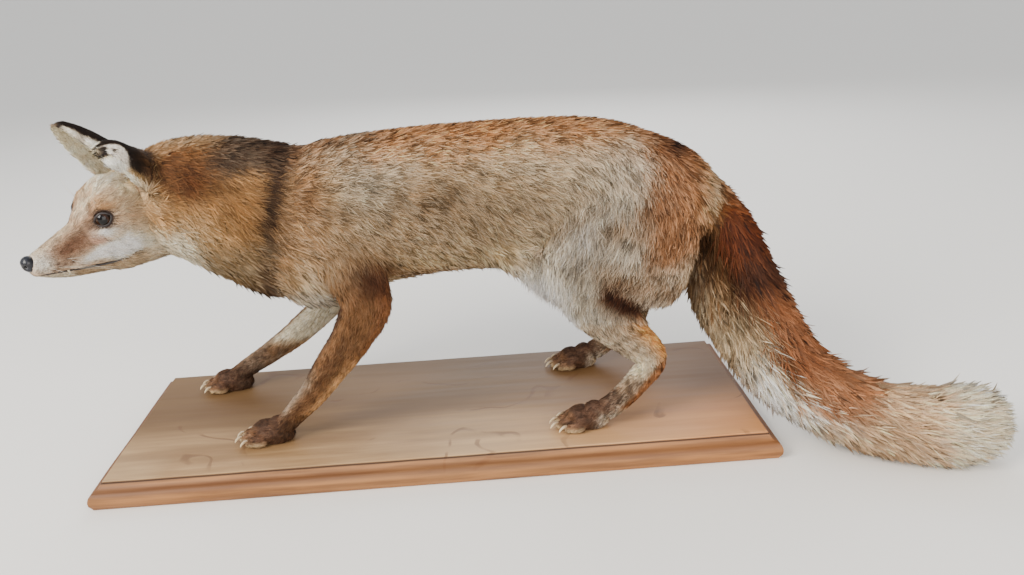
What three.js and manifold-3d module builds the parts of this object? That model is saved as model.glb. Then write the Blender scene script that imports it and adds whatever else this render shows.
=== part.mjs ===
// A mounted red fox on its wooden base board, life size, as a scene graph of separate solids.
// Millimetres, +Z up. The origin is the centre of the board's underside, the fox walks along -X
// and its left side faces -Y. Every body solid reaches out to the tips of the coat.
import * as THREE from "three";
import { ParametricGeometry } from "three/addons/geometries/ParametricGeometry.js";
import { mergeVertices } from "three/addons/utils/BufferGeometryUtils.js";
import Module from "manifold-3d";

const wasm = await Module();
wasm.setup();

// ---------------------------------------------------------------- driving dimensions
const GAP = 0.35; // clear space left between neighbouring pieces
const BOARD = { length: 600, depth: 211, thick: 24, overhang: 11.5 }; // face between the quirks
const FLOOR = BOARD.thick; // the paws stand on the board's face
const HEAD = { x: -262, y: 15, z: 252, turn: 47, nod: 13, tilt: -5, size: 0.9 }; // nape, degrees
const EYE = { forward: 53, side: 23.6, up: 6, radius: 9 };
const EAR = { width: 27, wall: 3 };
const EARS = {
  left: { forward: 0, side: 29, up: 16, length: 82, lean: 33, splay: 12, face: -18 },
  right: { forward: 6, side: 27, up: 22, length: 76, lean: 27, splay: 8, face: -12 },
};
const MOUTH = { corner: 51, z: -46, rise: 17 }; // head frame: mouth corner, and the lip line's slope
const MUZZLE_CUT = 68; // head frame: where the muzzle begins, in front of the eyes
const NAPE_CUT = { point: [-222, 0, 246], along: [-0.92, -0.38, -0.08] }; // where the head meets the neck
const NECK_CUT = -120; // the seam between neck and chest
const CHEST_CUT = -12;
const RUMP_CUT = 112;
const SHOULDER_TOP = 204; // the foreleg pieces stop here under the shoulder
const THIGH_TOP = 236;
const PATHS = { tail: [0.33, 0.53, 0.74], tailRoot: 0.05 }; // shares of the tail's length
const SIDES = { left: -1, right: 1 }; // sign of Y

// ---------------------------------------------------------------- making shapes
// A three.js geometry as a closed manifold solid that faces outwards.
function solid(geometry) {
  const bare = geometry.clone();
  for (const name of Object.keys(bare.attributes)) if (name !== "position") bare.deleteAttribute(name);
  const merged = mergeVertices(bare, 1e-3);
  const corners = merged.index.array;
  const kept = [];
  for (let i = 0; i < corners.length; i += 3) {
    const [a, b, c] = corners.slice(i, i + 3);
    if (a !== b && b !== c && c !== a) kept.push(a, b, c);
  }
  const build = (triangles) =>
    new wasm.Manifold(
      new wasm.Mesh({
        numProp: 3,
        vertProperties: new Float32Array(merged.attributes.position.array),
        triVerts: new Uint32Array(triangles),
      }),
    );
  const made = build(kept);
  if (made.volume() > 0) return made;
  for (let i = 0; i < kept.length; i += 3) [kept[i + 1], kept[i + 2]] = [kept[i + 2], kept[i + 1]];
  return build(kept);
}

const join = (...solids) => solids.reduce((all, next) => all.add(next));

// The smooth line and the changing oval size through a list of stations. A station is
// [x, y, z, half width, half height above, half height below].
const middleLine = (stations) =>
  new THREE.CatmullRomCurve3(stations.map(([x, y, z]) => new THREE.Vector3(x, y, z)), false, "catmullrom", 0.5);
const ovalSizes = (stations, grow) =>
  new THREE.CatmullRomCurve3(
    stations.map((s) => new THREE.Vector3(s[3] + grow, s[4] + grow, s[5] + grow)), false, "catmullrom", 0.5,
  );

// The surface swept by the oval along the line, with rounded ends; its width lies along across.
function loft(stations, { slices = 20, stacks = 20, across = null, caps = [0.1, 0.1], square = 2, grow = 0 } = {}) {
  const path = middleLine(stations);
  const sizes = ovalSizes(stations, grow);
  const power = (value) => Math.sign(value) * Math.abs(value) ** (2 / square);
  const rounded = (share, cap) => (share < cap ? Math.sqrt(Math.max(0, 1 - (1 - share / cap) ** 2)) : 1);
  const surface = (u, v, target) => {
    const along = (1 - Math.cos(Math.PI * v)) / 2; // rings crowd towards both ends
    const middle = path.getPoint(along);
    const size = sizes.getPoint(along).multiplyScalar(rounded(along, caps[0]) * rounded(1 - along, caps[1]));
    const forward = path.getTangent(along);
    const side = (across ?? new THREE.Vector3(0, 0, 1).cross(forward)).clone();
    side.addScaledVector(forward, -side.dot(forward)).normalize();
    const up = forward.clone().cross(side);
    const angle = 2 * Math.PI * u;
    const height = Math.sin(angle) > 0 ? size.y : size.z;
    target.copy(middle).addScaledVector(side, size.x * power(Math.cos(angle)));
    target.addScaledVector(up, height * power(Math.sin(angle)));
    if (grow > 0 && (v === 0 || v === 1)) target.addScaledVector(forward, v === 0 ? -grow : grow);
  };
  return solid(new ParametricGeometry(surface, slices, stacks));
}

// A ball stretched to three half sizes.
const ball = (centre, radii, slices = 12, stacks = 8) =>
  solid(new THREE.SphereGeometry(1, slices, stacks).rotateX(Math.PI / 2).scale(...radii).translate(...centre));

// The part of a solid beyond a plane, on the side its direction points to, half a gap clear of it.
function beyond(shape, point, direction, clear = GAP / 2) {
  const normal = new THREE.Vector3(...direction).normalize();
  return shape.trimByPlane(normal.toArray(), normal.dot(new THREE.Vector3(...point)) + clear);
}

// ---------------------------------------------------------------- base board
// A moulded edge: a quirk beside the face, a small hollow, and a round nosing that stands out.
function boardProfile(half) {
  const { thick, overhang } = BOARD;
  const out = half + overhang;
  const right = new THREE.Path();
  right.moveTo(half, thick);
  right.lineTo(half, thick - 2.2);
  right.lineTo(half + 1.2, thick - 2.2);
  right.quadraticCurveTo(half + 4.8, thick - 3, half + 6, thick - 7.5);
  right.quadraticCurveTo(out, thick - 8.5, out, thick - 15.5);
  right.quadraticCurveTo(out, 1.5, out - 3, 0);
  const edge = right.getPoints(4);
  return new THREE.Shape([...edge, ...edge.map((p) => new THREE.Vector2(-p.x, p.y)).reverse()]);
}

function baseBoard() {
  const long = { depth: 900, bevelEnabled: false };
  const upright = new THREE.Matrix4().makeRotationX(Math.PI / 2);
  const lengthways = new THREE.ExtrudeGeometry(boardProfile(BOARD.length / 2), long)
    .translate(0, 0, -450).applyMatrix4(upright);
  const crossways = new THREE.ExtrudeGeometry(boardProfile(BOARD.depth / 2), long)
    .translate(0, 0, -450).applyMatrix4(upright).rotateZ(Math.PI / 2);
  return solid(lengthways).intersect(solid(crossways));
}

// ---------------------------------------------------------------- trunk, neck and tail
// [x, y, z of the middle, half width, half height above, half height below]
const TRUNK = [
  [272, 0, 226, 30, 22, 26],
  [247, 0, 224, 49, 46, 42],
  [212, 0, 224, 59, 62, 58],
  [170, 0, 226, 62, 74, 66],
  [125, 0, 232, 61, 74, 66],
  [75, 0, 236, 60, 69, 68],
  [25, 0, 237, 62, 67, 67],
  [-25, 0, 235, 63, 68, 70],
  [-72, 0, 226, 63, 72, 72],
  [-112, 0, 217, 58, 69, 76],
  [-158, 0, 228, 45, 56, 65],
];
const NECK = [
  [-92, 0, 218, 50, 62, 62],
  [-122, 0, 222, 54, 64, 62],
  [-152, -1, 230, 57, 68, 66],
  [-184, 0, 240, 58, 65, 62],
  [-214, 4, 246, 54, 60, 58],
  [-240, 12, 246, 46, 55, 58],
  [-262, 20, 242, 32, 42, 48],
];
const TAIL = [
  [238, 0, 240, 20, 20, 20],
  [262, -2, 222, 28, 28, 28],
  [274, -10, 184, 35, 35, 35],
  [288, -24, 134, 40, 40, 40],
  [314, -48, 84, 40, 40, 40],
  [342, -76, 54, 36, 36, 36],
  [378, -104, 40, 33, 33, 33],
  [416, -124, 35, 32, 32, 32],
  [456, -136, 36, 32, 33, 33],
  [492, -142, 37, 28, 29, 29],
  [511, -144, 37, 15, 15, 15],
];
const NECK_SHAPE = { slices: 16, stacks: 9, caps: [0.1, 0.1] };
const TAIL_SHAPE = { slices: 14, stacks: 18, caps: [0.05, 0.06] };

// ---------------------------------------------------------------- legs
const SIDEWAYS = new THREE.Vector3(0, 1, 0);
// [x, y, z, half width, half depth behind, half depth in front]
const LEGS = {
  left: {
    fore: [
      [-92, -36, 222, 20, 34, 30],
      [-70, -49, 188, 21, 34, 27],
      [-58, -57, 160, 19, 27, 25],
      [-73, -58, 127, 16, 21, 20],
      [-95, -58, 98, 14, 17.5, 17],
      [-115, -57, 72, 12, 14, 13.5],
      [-134, -55, 52, 11, 11.5, 11.5],
      [-147, -54, 38, 12, 10, 11],
    ],
    hind: [
      [192, -28, 256, 28, 50, 58],
      [188, -44, 220, 31, 66, 67],
      [172, -53, 180, 30, 71, 76],
      [162, -58, 152, 23, 54, 54],
      [163, -60, 132, 18, 31, 32],
      [180, -62, 110, 15.5, 22, 21],
      [200, -66, 88, 12.5, 16, 16],
      [187, -69, 67, 11.5, 13, 13],
      [168, -70, 48, 11.5, 12, 12],
      [154, -70, 38, 13, 11, 12],
    ],
    forePaw: [-166, -53],
    hindPaw: [131, -70],
    foreCuts: [0.66, 0.95],
    hindCuts: [0.42, 0.655, 0.95],
  },
  right: {
    fore: [
      [-92, 36, 222, 20, 34, 30],
      [-84, 49, 182, 21, 34, 28],
      [-92, 58, 146, 19, 23, 22],
      [-116, 63, 114, 15, 17.5, 17],
      [-146, 65, 87, 13, 15, 15],
      [-176, 67, 66, 11.5, 12.5, 12.5],
      [-202, 68, 50, 11, 11, 11],
      [-218, 69, 39, 12, 10, 11],
    ],
    hind: [
      [194, 28, 256, 28, 50, 58],
      [192, 44, 220, 31, 64, 72],
      [182, 53, 178, 30, 62, 68],
      [178, 57, 150, 23, 44, 48],
      [184, 60, 130, 18, 28, 30],
      [200, 63, 106, 15, 20, 20],
      [212, 65, 84, 12.5, 15, 15],
      [197, 66, 64, 11.5, 12, 12],
      [177, 66, 47, 11.5, 11.5, 11.5],
      [163, 66, 38, 13, 11, 12],
    ],
    forePaw: [-232, 69],
    hindPaw: [140, 65],
    foreCuts: [0.6, 0.95],
    hindCuts: [0.46, 0.655, 0.95],
  },
};
const FORE_SHAPE = { slices: 10, stacks: 12, across: SIDEWAYS, caps: [0.08, 0.04] };
const HIND_SHAPE = { slices: 11, stacks: 15, across: SIDEWAYS, caps: [0.08, 0.04] };

// A leg: one loft from shoulder or hip to ankle, joined to its paw and parted across at the joints.
function legParts(stations, shape, cuts, top, pawAt) {
  const foot = paw(pawAt);
  const whole = beyond(loft(stations, shape), [0, 0, top], [0, 0, -1]).add(foot.body);
  const line = middleLine(stations);
  const pieces = [];
  let rest = whole;
  for (const share of cuts) {
    const point = line.getPoint(share).toArray();
    const along = line.getTangent(share).toArray();
    pieces.push(beyond(rest, point, along.map((value) => -value)));
    rest = beyond(rest, point, along);
  }
  pieces.push(beyond(rest, [0, 0, FLOOR], [0, 0, 1], GAP));
  return { pieces, claws: foot.claws };
}

// A paw: a low palm, four toes side by side with the middle two ahead, and a curved claw on each.
function paw([x, y]) {
  const place = (shape) => shape.translate([x, y, FLOOR + GAP]);
  const pieces = [ball([6, 0, 9], [24, 15, 15], 10, 5)];
  const claws = [];
  for (const offset of [-13.5, -4.8, 4.8, 13.5]) {
    const tip = Math.abs(offset) < 10 ? -14 : -7;
    const toe = (grow) => ball([tip, offset, 7.4], [11 + grow, 5.6 + grow, 7.8 + grow], 7, 5);
    const horn = [
      [tip - 7, offset, 9.2, 1.7, 2, 2],
      [tip - 13, offset, 8, 1.5, 1.8, 1.8],
      [tip - 17.5, offset, 4.8, 1, 1.2, 1.2],
      [tip - 19, offset, 2.2, 0.5, 0.5, 0.5],
    ];
    pieces.push(toe(0));
    claws.push(place(loft(horn, { slices: 4, stacks: 3, across: SIDEWAYS, caps: [0.1, 0.05] }).subtract(toe(GAP))));
  }
  return { body: place(join(...pieces)), claws };
}

// ---------------------------------------------------------------- head
// The head is made facing +X with the nape at the origin, then nodded, turned and set in place.
const degrees = THREE.MathUtils.degToRad;
const headPose = new THREE.Matrix4().makeTranslation(HEAD.x, HEAD.y, HEAD.z)
  .multiply(new THREE.Matrix4().makeRotationZ(degrees(180 + HEAD.turn)))
  .multiply(new THREE.Matrix4().makeRotationY(degrees(HEAD.nod)))
  .multiply(new THREE.Matrix4().makeRotationX(degrees(HEAD.tilt)))
  .multiply(new THREE.Matrix4().makeScale(HEAD.size, HEAD.size, HEAD.size));
const posed = (shape) => shape.transform(headPose.elements);
const posedPoint = (point) => new THREE.Vector3(...point).applyMatrix4(headPose).toArray();
const posedDirection = (direction) => new THREE.Vector3(...direction).transformDirection(headPose).toArray();

const SKULL = [
  [-34, 0, -16, 40, 48, 52],
  [-8, 0, -14, 46, 53, 57],
  [16, 0, -14, 48, 50, 54],
  [36, 0, -13, 43, 49, 50],
  [50, 0, -13, 36, 39, 48],
  [62, 0, -14, 28, 29, 44],
  [74, 0, -16, 21, 22.5, 38],
  [90, 0, -18, 17.5, 21, 29],
  [108, 0, -18, 14.5, 17, 20],
  [121, 0, -17, 12, 13, 12.5],
  [129, 0, -16, 8.5, 9, 8],
];
const SKULL_SHAPE = { slices: 16, stacks: 18, across: SIDEWAYS, caps: [0.08, 0.04], square: 2.2 };
const NOSE = { centre: [127, 0, -11.5], radii: [7, 8, 7] };

// An ear: a blunt pointed shell, hollowed out from the front so that its rim is thin.
function ear(side) {
  const { forward, side: out, up, length, lean, splay, face } = EARS[side];
  const sign = -SIDES[side];
  const outline = [[0, -0.3], [0.75, -0.16], [1, 0.1], [0.94, 0.34], [0.8, 0.58], [0.6, 0.78], [0.36, 0.93], [0, 1]];
  const spun = (shrink) => new THREE.LatheGeometry(
    outline.map(([across, high]) => new THREE.Vector2(across * EAR.width * shrink, high * length * shrink)), 14,
  ).rotateX(Math.PI / 2).scale(0.9, 1, 1);
  const hollow = solid(spun(0.93).translate(EAR.wall * 2.6, 0, 2));
  const turn = new THREE.Matrix4().makeTranslation(forward, sign * out, up)
    .multiply(new THREE.Matrix4().makeRotationY(degrees(lean)))
    .multiply(new THREE.Matrix4().makeRotationX(degrees(-sign * splay)))
    .multiply(new THREE.Matrix4().makeRotationZ(degrees(sign * face)));
  return beyond(solid(spun(1)).subtract(hollow), [2, 0, 0], [-1, 0, 0], 0).transform(turn.elements);
}

// ---------------------------------------------------------------- the pieces, named and coloured
const fox = new THREE.Group();
function add(name, shape, colour, roughness = 0.95) {
  const mesh = shape.getMesh();
  const geometry = new THREE.BufferGeometry();
  geometry.setAttribute("position", new THREE.BufferAttribute(mesh.vertProperties, 3));
  geometry.setIndex(new THREE.BufferAttribute(mesh.triVerts, 1));
  geometry.computeVertexNormals();
  const made = new THREE.Mesh(geometry, new THREE.MeshStandardMaterial({ color: colour, roughness }));
  made.name = name;
  fox.add(made);
}
const COAT = { back: 0xa9845c, dark: 0x5c4431, pale: 0xd9c6a4, rufous: 0xa86d3c, grey: 0xb0a48c };

add("base_board", baseBoard(), 0xa88a66, 0.6);

// Legs are made whole; the body is hollowed to receive them and the tail's root.
let body = join(
  loft(TRUNK, { slices: 18, stacks: 16, caps: [0.07, 0.08], square: 2.1 }),
  loft(NECK, NECK_SHAPE),
  posed(loft(SKULL, SKULL_SHAPE)),
);
const sockets = [];
for (const side of Object.keys(SIDES)) {
  const leg = LEGS[side];
  for (const [stations, shape, top] of [[leg.fore, FORE_SHAPE, SHOULDER_TOP], [leg.hind, HIND_SHAPE, THIGH_TOP]]) {
    body = body.add(beyond(loft(stations, shape), [0, 0, top], [0, 0, 1], -GAP));
    sockets.push(beyond(loft(stations, { ...shape, grow: GAP }), [0, 0, top], [0, 0, -1], -GAP / 2));
  }
  const fore = legParts(leg.fore, FORE_SHAPE, leg.foreCuts, SHOULDER_TOP, leg.forePaw);
  const hind = legParts(leg.hind, HIND_SHAPE, leg.hindCuts, THIGH_TOP, leg.hindPaw);
  ["upper", "lower"].forEach((part, i) => add(`foreleg_${side}_${part}`, fore.pieces[i], COAT.rufous));
  add(`forepaw_${side}`, fore.pieces[2], COAT.dark);
  ["thigh", "shank", "metatarsus"].forEach((part, i) => add(`hindleg_${side}_${part}`, hind.pieces[i], COAT.grey));
  add(`hindpaw_${side}`, hind.pieces[3], COAT.dark);
  fore.claws.forEach((claw, i) => add(`forepaw_${side}_claw_${i + 1}`, claw, COAT.pale, 0.4));
  hind.claws.forEach((claw, i) => add(`hindpaw_${side}_claw_${i + 1}`, claw, COAT.pale, 0.4));
}
for (const socket of sockets) body = body.subtract(socket);

// The tail leaves the rump at its root and is parted into a few lengths.
const tailLine = middleLine(TAIL);
const rootPoint = tailLine.getPoint(PATHS.tailRoot).toArray();
const rootAlong = tailLine.getTangent(PATHS.tailRoot).toArray();
body = body.subtract(beyond(loft(TAIL, { ...TAIL_SHAPE, grow: GAP }), rootPoint, rootAlong, -GAP / 2));
let tail = beyond(loft(TAIL, TAIL_SHAPE), rootPoint, rootAlong);
PATHS.tail.forEach((share, i) => {
  const [point, along] = [tailLine.getPoint(share).toArray(), tailLine.getTangent(share).toArray()];
  add(["tail_root", "tail_upper", "tail_lower"][i], beyond(tail, point, along.map((v) => -v)), COAT.back);
  tail = beyond(tail, point, along);
});
add("tail_tip", tail, COAT.pale);

add("rump", beyond(body, [RUMP_CUT, 0, 0], [1, 0, 0]), COAT.back);
const fore = beyond(body, [RUMP_CUT, 0, 0], [-1, 0, 0]);
add("loin", beyond(fore, [CHEST_CUT, 0, 0], [1, 0, 0]), COAT.back);
const front = beyond(fore, [CHEST_CUT, 0, 0], [-1, 0, 0]);
add("chest", beyond(front, [NECK_CUT, 0, 0], [1, 0, 0]), COAT.grey);
const headAndNeck = beyond(front, [NECK_CUT, 0, 0], [-1, 0, 0]);
add("neck", beyond(headAndNeck, NAPE_CUT.point, NAPE_CUT.along.map((v) => -v)), COAT.back);
let head = beyond(headAndNeck, NAPE_CUT.point, NAPE_CUT.along);

// Ears stand on the skull, eyes sit in it, and the nose pad caps the muzzle.
for (const [side, sign] of Object.entries(SIDES)) {
  const shaped = posed(ear(side));
  const bare = shaped.subtract(posed(loft(SKULL, { ...SKULL_SHAPE, grow: GAP / HEAD.size })));
  add(`ear_${side}`, bare.subtract(loft(NECK, { ...NECK_SHAPE, grow: GAP })), COAT.dark);
  const place = [EYE.forward, -sign * EYE.side, EYE.up];
  add(`eye_${side}`, posed(ball(place, Array(3).fill(EYE.radius), 10, 7)), 0x2a1608, 0.05);
  head = head.subtract(posed(ball(place, Array(3).fill(EYE.radius + GAP / HEAD.size), 10, 7)));
}
add("nose_pad", posed(ball(NOSE.centre, NOSE.radii, 10, 6)), 0x1c1a1e, 0.4);
head = head.subtract(posed(ball(NOSE.centre, NOSE.radii.map((r) => r + GAP / HEAD.size), 10, 6)));

// The lower jaw lies under the lip line, forward of the mouth's corner.
const corner = posedPoint([MOUTH.corner, 0, MOUTH.z]);
const lips = [-Math.sin(degrees(MOUTH.rise)), 0, Math.cos(degrees(MOUTH.rise))];
const ahead = beyond(head, corner, posedDirection([1, 0, 0]));
add("lower_jaw", beyond(ahead, corner, posedDirection(lips.map((v) => -v))), COAT.pale);
const upper = beyond(ahead, corner, posedDirection(lips));
add("muzzle", beyond(upper, posedPoint([MUZZLE_CUT, 0, 0]), posedDirection([1, 0, 0])), COAT.pale);
const cheeks = beyond(upper, posedPoint([MUZZLE_CUT, 0, 0]), posedDirection([-1, 0, 0]));
add("cheeks_and_brow", cheeks, COAT.grey);
add("cranium", beyond(head, corner, posedDirection([-1, 0, 0])), COAT.grey);

export default fox;
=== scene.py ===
import bpy
import numpy as np
from mathutils import Matrix


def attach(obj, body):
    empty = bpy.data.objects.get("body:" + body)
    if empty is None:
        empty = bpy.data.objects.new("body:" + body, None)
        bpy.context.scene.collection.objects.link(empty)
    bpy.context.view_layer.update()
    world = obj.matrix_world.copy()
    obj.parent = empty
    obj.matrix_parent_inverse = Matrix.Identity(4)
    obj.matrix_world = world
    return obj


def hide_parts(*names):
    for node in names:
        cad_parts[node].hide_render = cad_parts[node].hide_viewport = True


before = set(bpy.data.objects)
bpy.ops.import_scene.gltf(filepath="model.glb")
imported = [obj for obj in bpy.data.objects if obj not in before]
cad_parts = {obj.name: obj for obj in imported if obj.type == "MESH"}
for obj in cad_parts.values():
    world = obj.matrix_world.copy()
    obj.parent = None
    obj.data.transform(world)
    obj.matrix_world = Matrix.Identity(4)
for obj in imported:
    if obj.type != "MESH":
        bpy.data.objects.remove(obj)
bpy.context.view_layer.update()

# ======================================================================================
# Where the mount is looked at from: a person standing at its left side, a little above
# it, with the head of the fox at the left and the tail tip at the right.
# ======================================================================================
MM = 0.001
EYE_POINT = np.array([0.0418217, -0.780934, 0.424433])
YAW, PITCH, ROLL = 0.0453051, 0.3463914, -0.0515757


def view_axes(yaw, pitch, roll):
    """Right, up and forward of a level view turned by yaw, tipped down by pitch, then rolled."""
    ahead = np.array([np.sin(yaw), np.cos(yaw), 0.0])
    right = np.array([np.cos(yaw), -np.sin(yaw), 0.0])
    top = np.array([0.0, 0.0, 1.0])
    forward = ahead * np.cos(pitch) - top * np.sin(pitch)
    up = top * np.cos(pitch) + ahead * np.sin(pitch)
    return (
        right * np.cos(roll) + up * np.sin(roll),
        up * np.cos(roll) - right * np.sin(roll),
        forward,
    )


camera_data = bpy.data.cameras.new("camera")
camera_data.sensor_width = 36.0
camera_data.lens = 30.0075
camera_data.clip_start = 0.01
camera_data.clip_end = 80.0
camera = bpy.data.objects.new("camera", camera_data)
bpy.context.scene.collection.objects.link(camera)
view_right, view_up, view_forward = view_axes(YAW, PITCH, ROLL)
camera.matrix_world = Matrix((
    (view_right[0], view_up[0], -view_forward[0], EYE_POINT[0]),
    (view_right[1], view_up[1], -view_forward[1], EYE_POINT[1]),
    (view_right[2], view_up[2], -view_forward[2], EYE_POINT[2]),
    (0.0, 0.0, 0.0, 1.0),
))
bpy.context.scene.camera = camera

# ======================================================================================
# The room it stands in: a plain pale floor under a pale even sky, a large window-like
# light in front of the head, a broad low one on its left side, and a weak one on its right.
# ======================================================================================


def mesh_piece(name, points, faces, material):
    """A smooth mesh object at the origin, from points in millimetres and rows of corners."""
    points = np.asarray(points, np.float32) * MM
    faces = np.asarray(faces, np.int32)
    mesh = bpy.data.meshes.new(name)
    mesh.vertices.add(len(points))
    mesh.vertices.foreach_set("co", points.ravel())
    mesh.loops.add(faces.size)
    mesh.loops.foreach_set("vertex_index", faces.ravel())
    mesh.polygons.add(len(faces))
    starts = np.arange(len(faces), dtype=np.int32) * faces.shape[1]
    mesh.polygons.foreach_set("loop_start", starts)
    mesh.polygons.foreach_set("use_smooth", np.full(len(faces), True))
    mesh.update(calc_edges=True)
    mesh.materials.append(material)
    piece = bpy.data.objects.new(name, mesh)
    bpy.context.scene.collection.objects.link(piece)
    return piece


def new_material(name):
    """A plain material, its node tree, and its shader, which is already joined to the output."""
    material = bpy.data.materials.new(name)
    material.use_nodes = True
    return material, material.node_tree, material.node_tree.nodes["Principled BSDF"]


def all_linear(screen):
    """Screen colours, 0 to 255, as the linear ones that shaders mix: the curve of a screen."""
    c = np.asarray(screen) / 255.0
    return np.where(c <= 0.04045, c / 12.92, ((c + 0.055) / 1.055) ** 2.4)


def linear(red, green, blue):
    """One screen colour as a linear one."""
    return all_linear([red, green, blue])


def ring_faces(count, across):
    """Four-cornered faces between each of a number of rings and the next, closed round."""
    i, j = np.meshgrid(np.arange(count - 1), np.arange(across), indexing="ij")
    k = (j + 1) % across
    here, there = i * across, (i + 1) * across
    return np.stack([here + j, there + j, there + k, here + k], -1).reshape(-1, 4)


def halved(squares):
    """Each four-cornered face as two triangles."""
    return np.vstack([squares[:, [0, 1, 2]], squares[:, [0, 2, 3]]])


def soft_light(name, place, target, size, watts, colour):
    """A square lamp at place, in metres, that faces target."""
    data = bpy.data.lights.new(name, "AREA")
    data.size = size
    data.energy = watts
    data.color = colour
    lamp = bpy.data.objects.new(name, data)
    bpy.context.scene.collection.objects.link(lamp)
    aim = np.array(target, float) - np.array(place, float)
    aim /= np.linalg.norm(aim)
    side = np.cross(aim, [0.0, 0.0, 1.0])
    side /= np.linalg.norm(side)
    up = np.cross(side, aim)
    lamp.matrix_world = Matrix((
        (side[0], up[0], -aim[0], place[0]),
        (side[1], up[1], -aim[1], place[1]),
        (side[2], up[2], -aim[2], place[2]),
        (0.0, 0.0, 0.0, 1.0),
    ))
    return lamp


floor_material, tree, shader = new_material("pale_floor")
shader.inputs["Base Color"].default_value = (0.84, 0.81, 0.76, 1.0)
shader.inputs["Roughness"].default_value = 0.8
# flat round the mount, and turned up far away so that its edge stays out of the main view
FLAT_TO = 3500.0
FLOOR_STEPS = 96
far_out = np.array([20.0, FLAT_TO, 4500.0, 5500.0, 6500.0, 7500.0, 8500.0, 9500.0])
turn = np.linspace(0, 2 * np.pi, FLOOR_STEPS, endpoint=False)
rise = 0.00006 * np.maximum(far_out - FLAT_TO, 0.0) ** 2
circles = np.stack([
    far_out[:, None] * np.cos(turn),
    far_out[:, None] * np.sin(turn),
    rise[:, None] * np.ones(FLOOR_STEPS),
], -1)
j = np.arange(FLOOR_STEPS)
middle = np.column_stack([np.full(FLOOR_STEPS, far_out.size * FLOOR_STEPS), j, (j + 1) % FLOOR_STEPS])
floor_faces = np.vstack([halved(ring_faces(far_out.size, FLOOR_STEPS)), middle])
floor_points = np.vstack([circles.reshape(-1, 3), [[0, 0, 0]]])
floor = mesh_piece("floor", floor_points, floor_faces, floor_material)

sky = bpy.data.worlds.new("pale_sky")
sky.use_nodes = True
sky.node_tree.nodes["Background"].inputs["Color"].default_value = (0.93, 0.96, 1.0, 1.0)
sky.node_tree.nodes["Background"].inputs["Strength"].default_value = 0.95
bpy.context.scene.world = sky

soft_light("window_light", (-1.5, -1.3, 1.5), (0.0, 0.0, 0.2), 1.1, 74.0, (1.0, 0.96, 0.9))
soft_light("room_light", (0.7, -1.9, 0.75), (0.1, 0.0, 0.2), 1.8, 46.0, (1.0, 0.95, 0.89))
soft_light("back_light", (0.3, 1.8, 1.4), (0.0, 0.0, 0.2), 1.4, 22.0, (0.95, 0.97, 1.0))

# ======================================================================================
# The wooden base: one solid plank of old tan hardwood with an ovolo moulding run round
# its edge below a sawn groove, sanded smooth, scratched, and browned with age.
# ======================================================================================
BOARD_LENGTH = 600.0
BOARD_DEPTH = 211.0
BOARD_TOP = 24.0
BOARD_OUT = 11.5
GROOVE_DEEP = 2.2
GROOVE_WIDE = 1.2

# the moulding's section, from the top face outwards and down: [out from the face, height]
bend = np.linspace(0.0, 1.0, 7)[1:]
hollow_curve = np.column_stack([
    GROOVE_WIDE + (6.0 - GROOVE_WIDE) * (0.35 * bend + 0.65 * bend**2),
    BOARD_TOP - GROOVE_DEEP - 5.3 * (1.4 * bend - 0.4 * bend**2),
])
turn = np.linspace(0.0, np.pi / 2, 7)[1:]
round_nose = np.column_stack([
    6.0 + (BOARD_OUT - 6.0) * np.sin(turn),
    BOARD_TOP - 15.5 + 8.0 * np.cos(turn),
])
section = np.vstack([
    [[-1.1, BOARD_TOP], [-0.5, BOARD_TOP - 0.12], [-0.1, BOARD_TOP - 0.5], [0.0, BOARD_TOP - 1.1]],
    [[0.1, BOARD_TOP - GROOVE_DEEP], [GROOVE_WIDE - 0.2, BOARD_TOP - GROOVE_DEEP]],
    hollow_curve,
    round_nose,
    [[BOARD_OUT - 0.3, 5.6], [BOARD_OUT - 2.2, 2.0], [BOARD_OUT - 3.0, 0.6], [BOARD_OUT - 3.8, 0.0]],
])


def board_rings(section, long_steps, short_steps):
    """The section carried round a rectangle with mitred corners: each point of the section gives one
    closed ring, at its own distance out from the edge of the top face and at its own height."""
    long_side = np.linspace(-1, 1, long_steps, endpoint=False)
    short_side = np.linspace(-1, 1, short_steps, endpoint=False)
    around = np.vstack([
        np.column_stack([long_side, np.full(long_steps, -1.0)]),
        np.column_stack([np.full(short_steps, 1.0), short_side]),
        np.column_stack([-long_side, np.full(long_steps, 1.0)]),
        np.column_stack([np.full(short_steps, -1.0), -short_side]),
    ])
    half = np.array([BOARD_LENGTH / 2, BOARD_DEPTH / 2])
    inner = np.linspace(0.0, 1.0, 8)[1:-1]
    flat = [around * half * share for share in inner]
    top = [np.column_stack([ring, np.full(len(ring), BOARD_TOP)]) for ring in flat]
    mould = [
        np.column_stack([around * (half + out), np.full(len(around), high)])
        for out, high in section
    ]
    under = [np.column_stack([ring, np.zeros(len(ring))]) for ring in flat[::-1]]
    rings = np.array(top + mould + under)
    # the arrises were planed by hand, so they waver by a few tenths of a millimetre
    x, y = rings[..., 0], rings[..., 1]
    waver = 0.16 * np.sin(x / 37.0 + y / 23.0) + 0.12 * np.sin(x / 11.3 - y / 17.0)
    edge = np.zeros(len(rings))
    edge[len(top):-len(under) - 2] = 1.0
    rings[..., :2] += (np.sign(around) * (np.abs(around) > 0.999)) * (waver * edge[:, None])[..., None]
    return rings


rings = board_rings(section, 90, 34)
count, across = rings.shape[:2]
board_points = np.vstack([rings.reshape(-1, 3), [[0, 0, BOARD_TOP]], [[0, 0, 0]]])
j = np.arange(across)
top_fan = np.column_stack([np.full(across, count * across), j, (j + 1) % across])
low = (count - 1) * across
under_fan = np.column_stack([np.full(across, count * across + 1), low + (j + 1) % across, low + j])
board_faces = np.vstack([halved(ring_faces(count, across)), top_fan, under_fan])

wood, tree, shader = new_material("old_hardwood")


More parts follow.
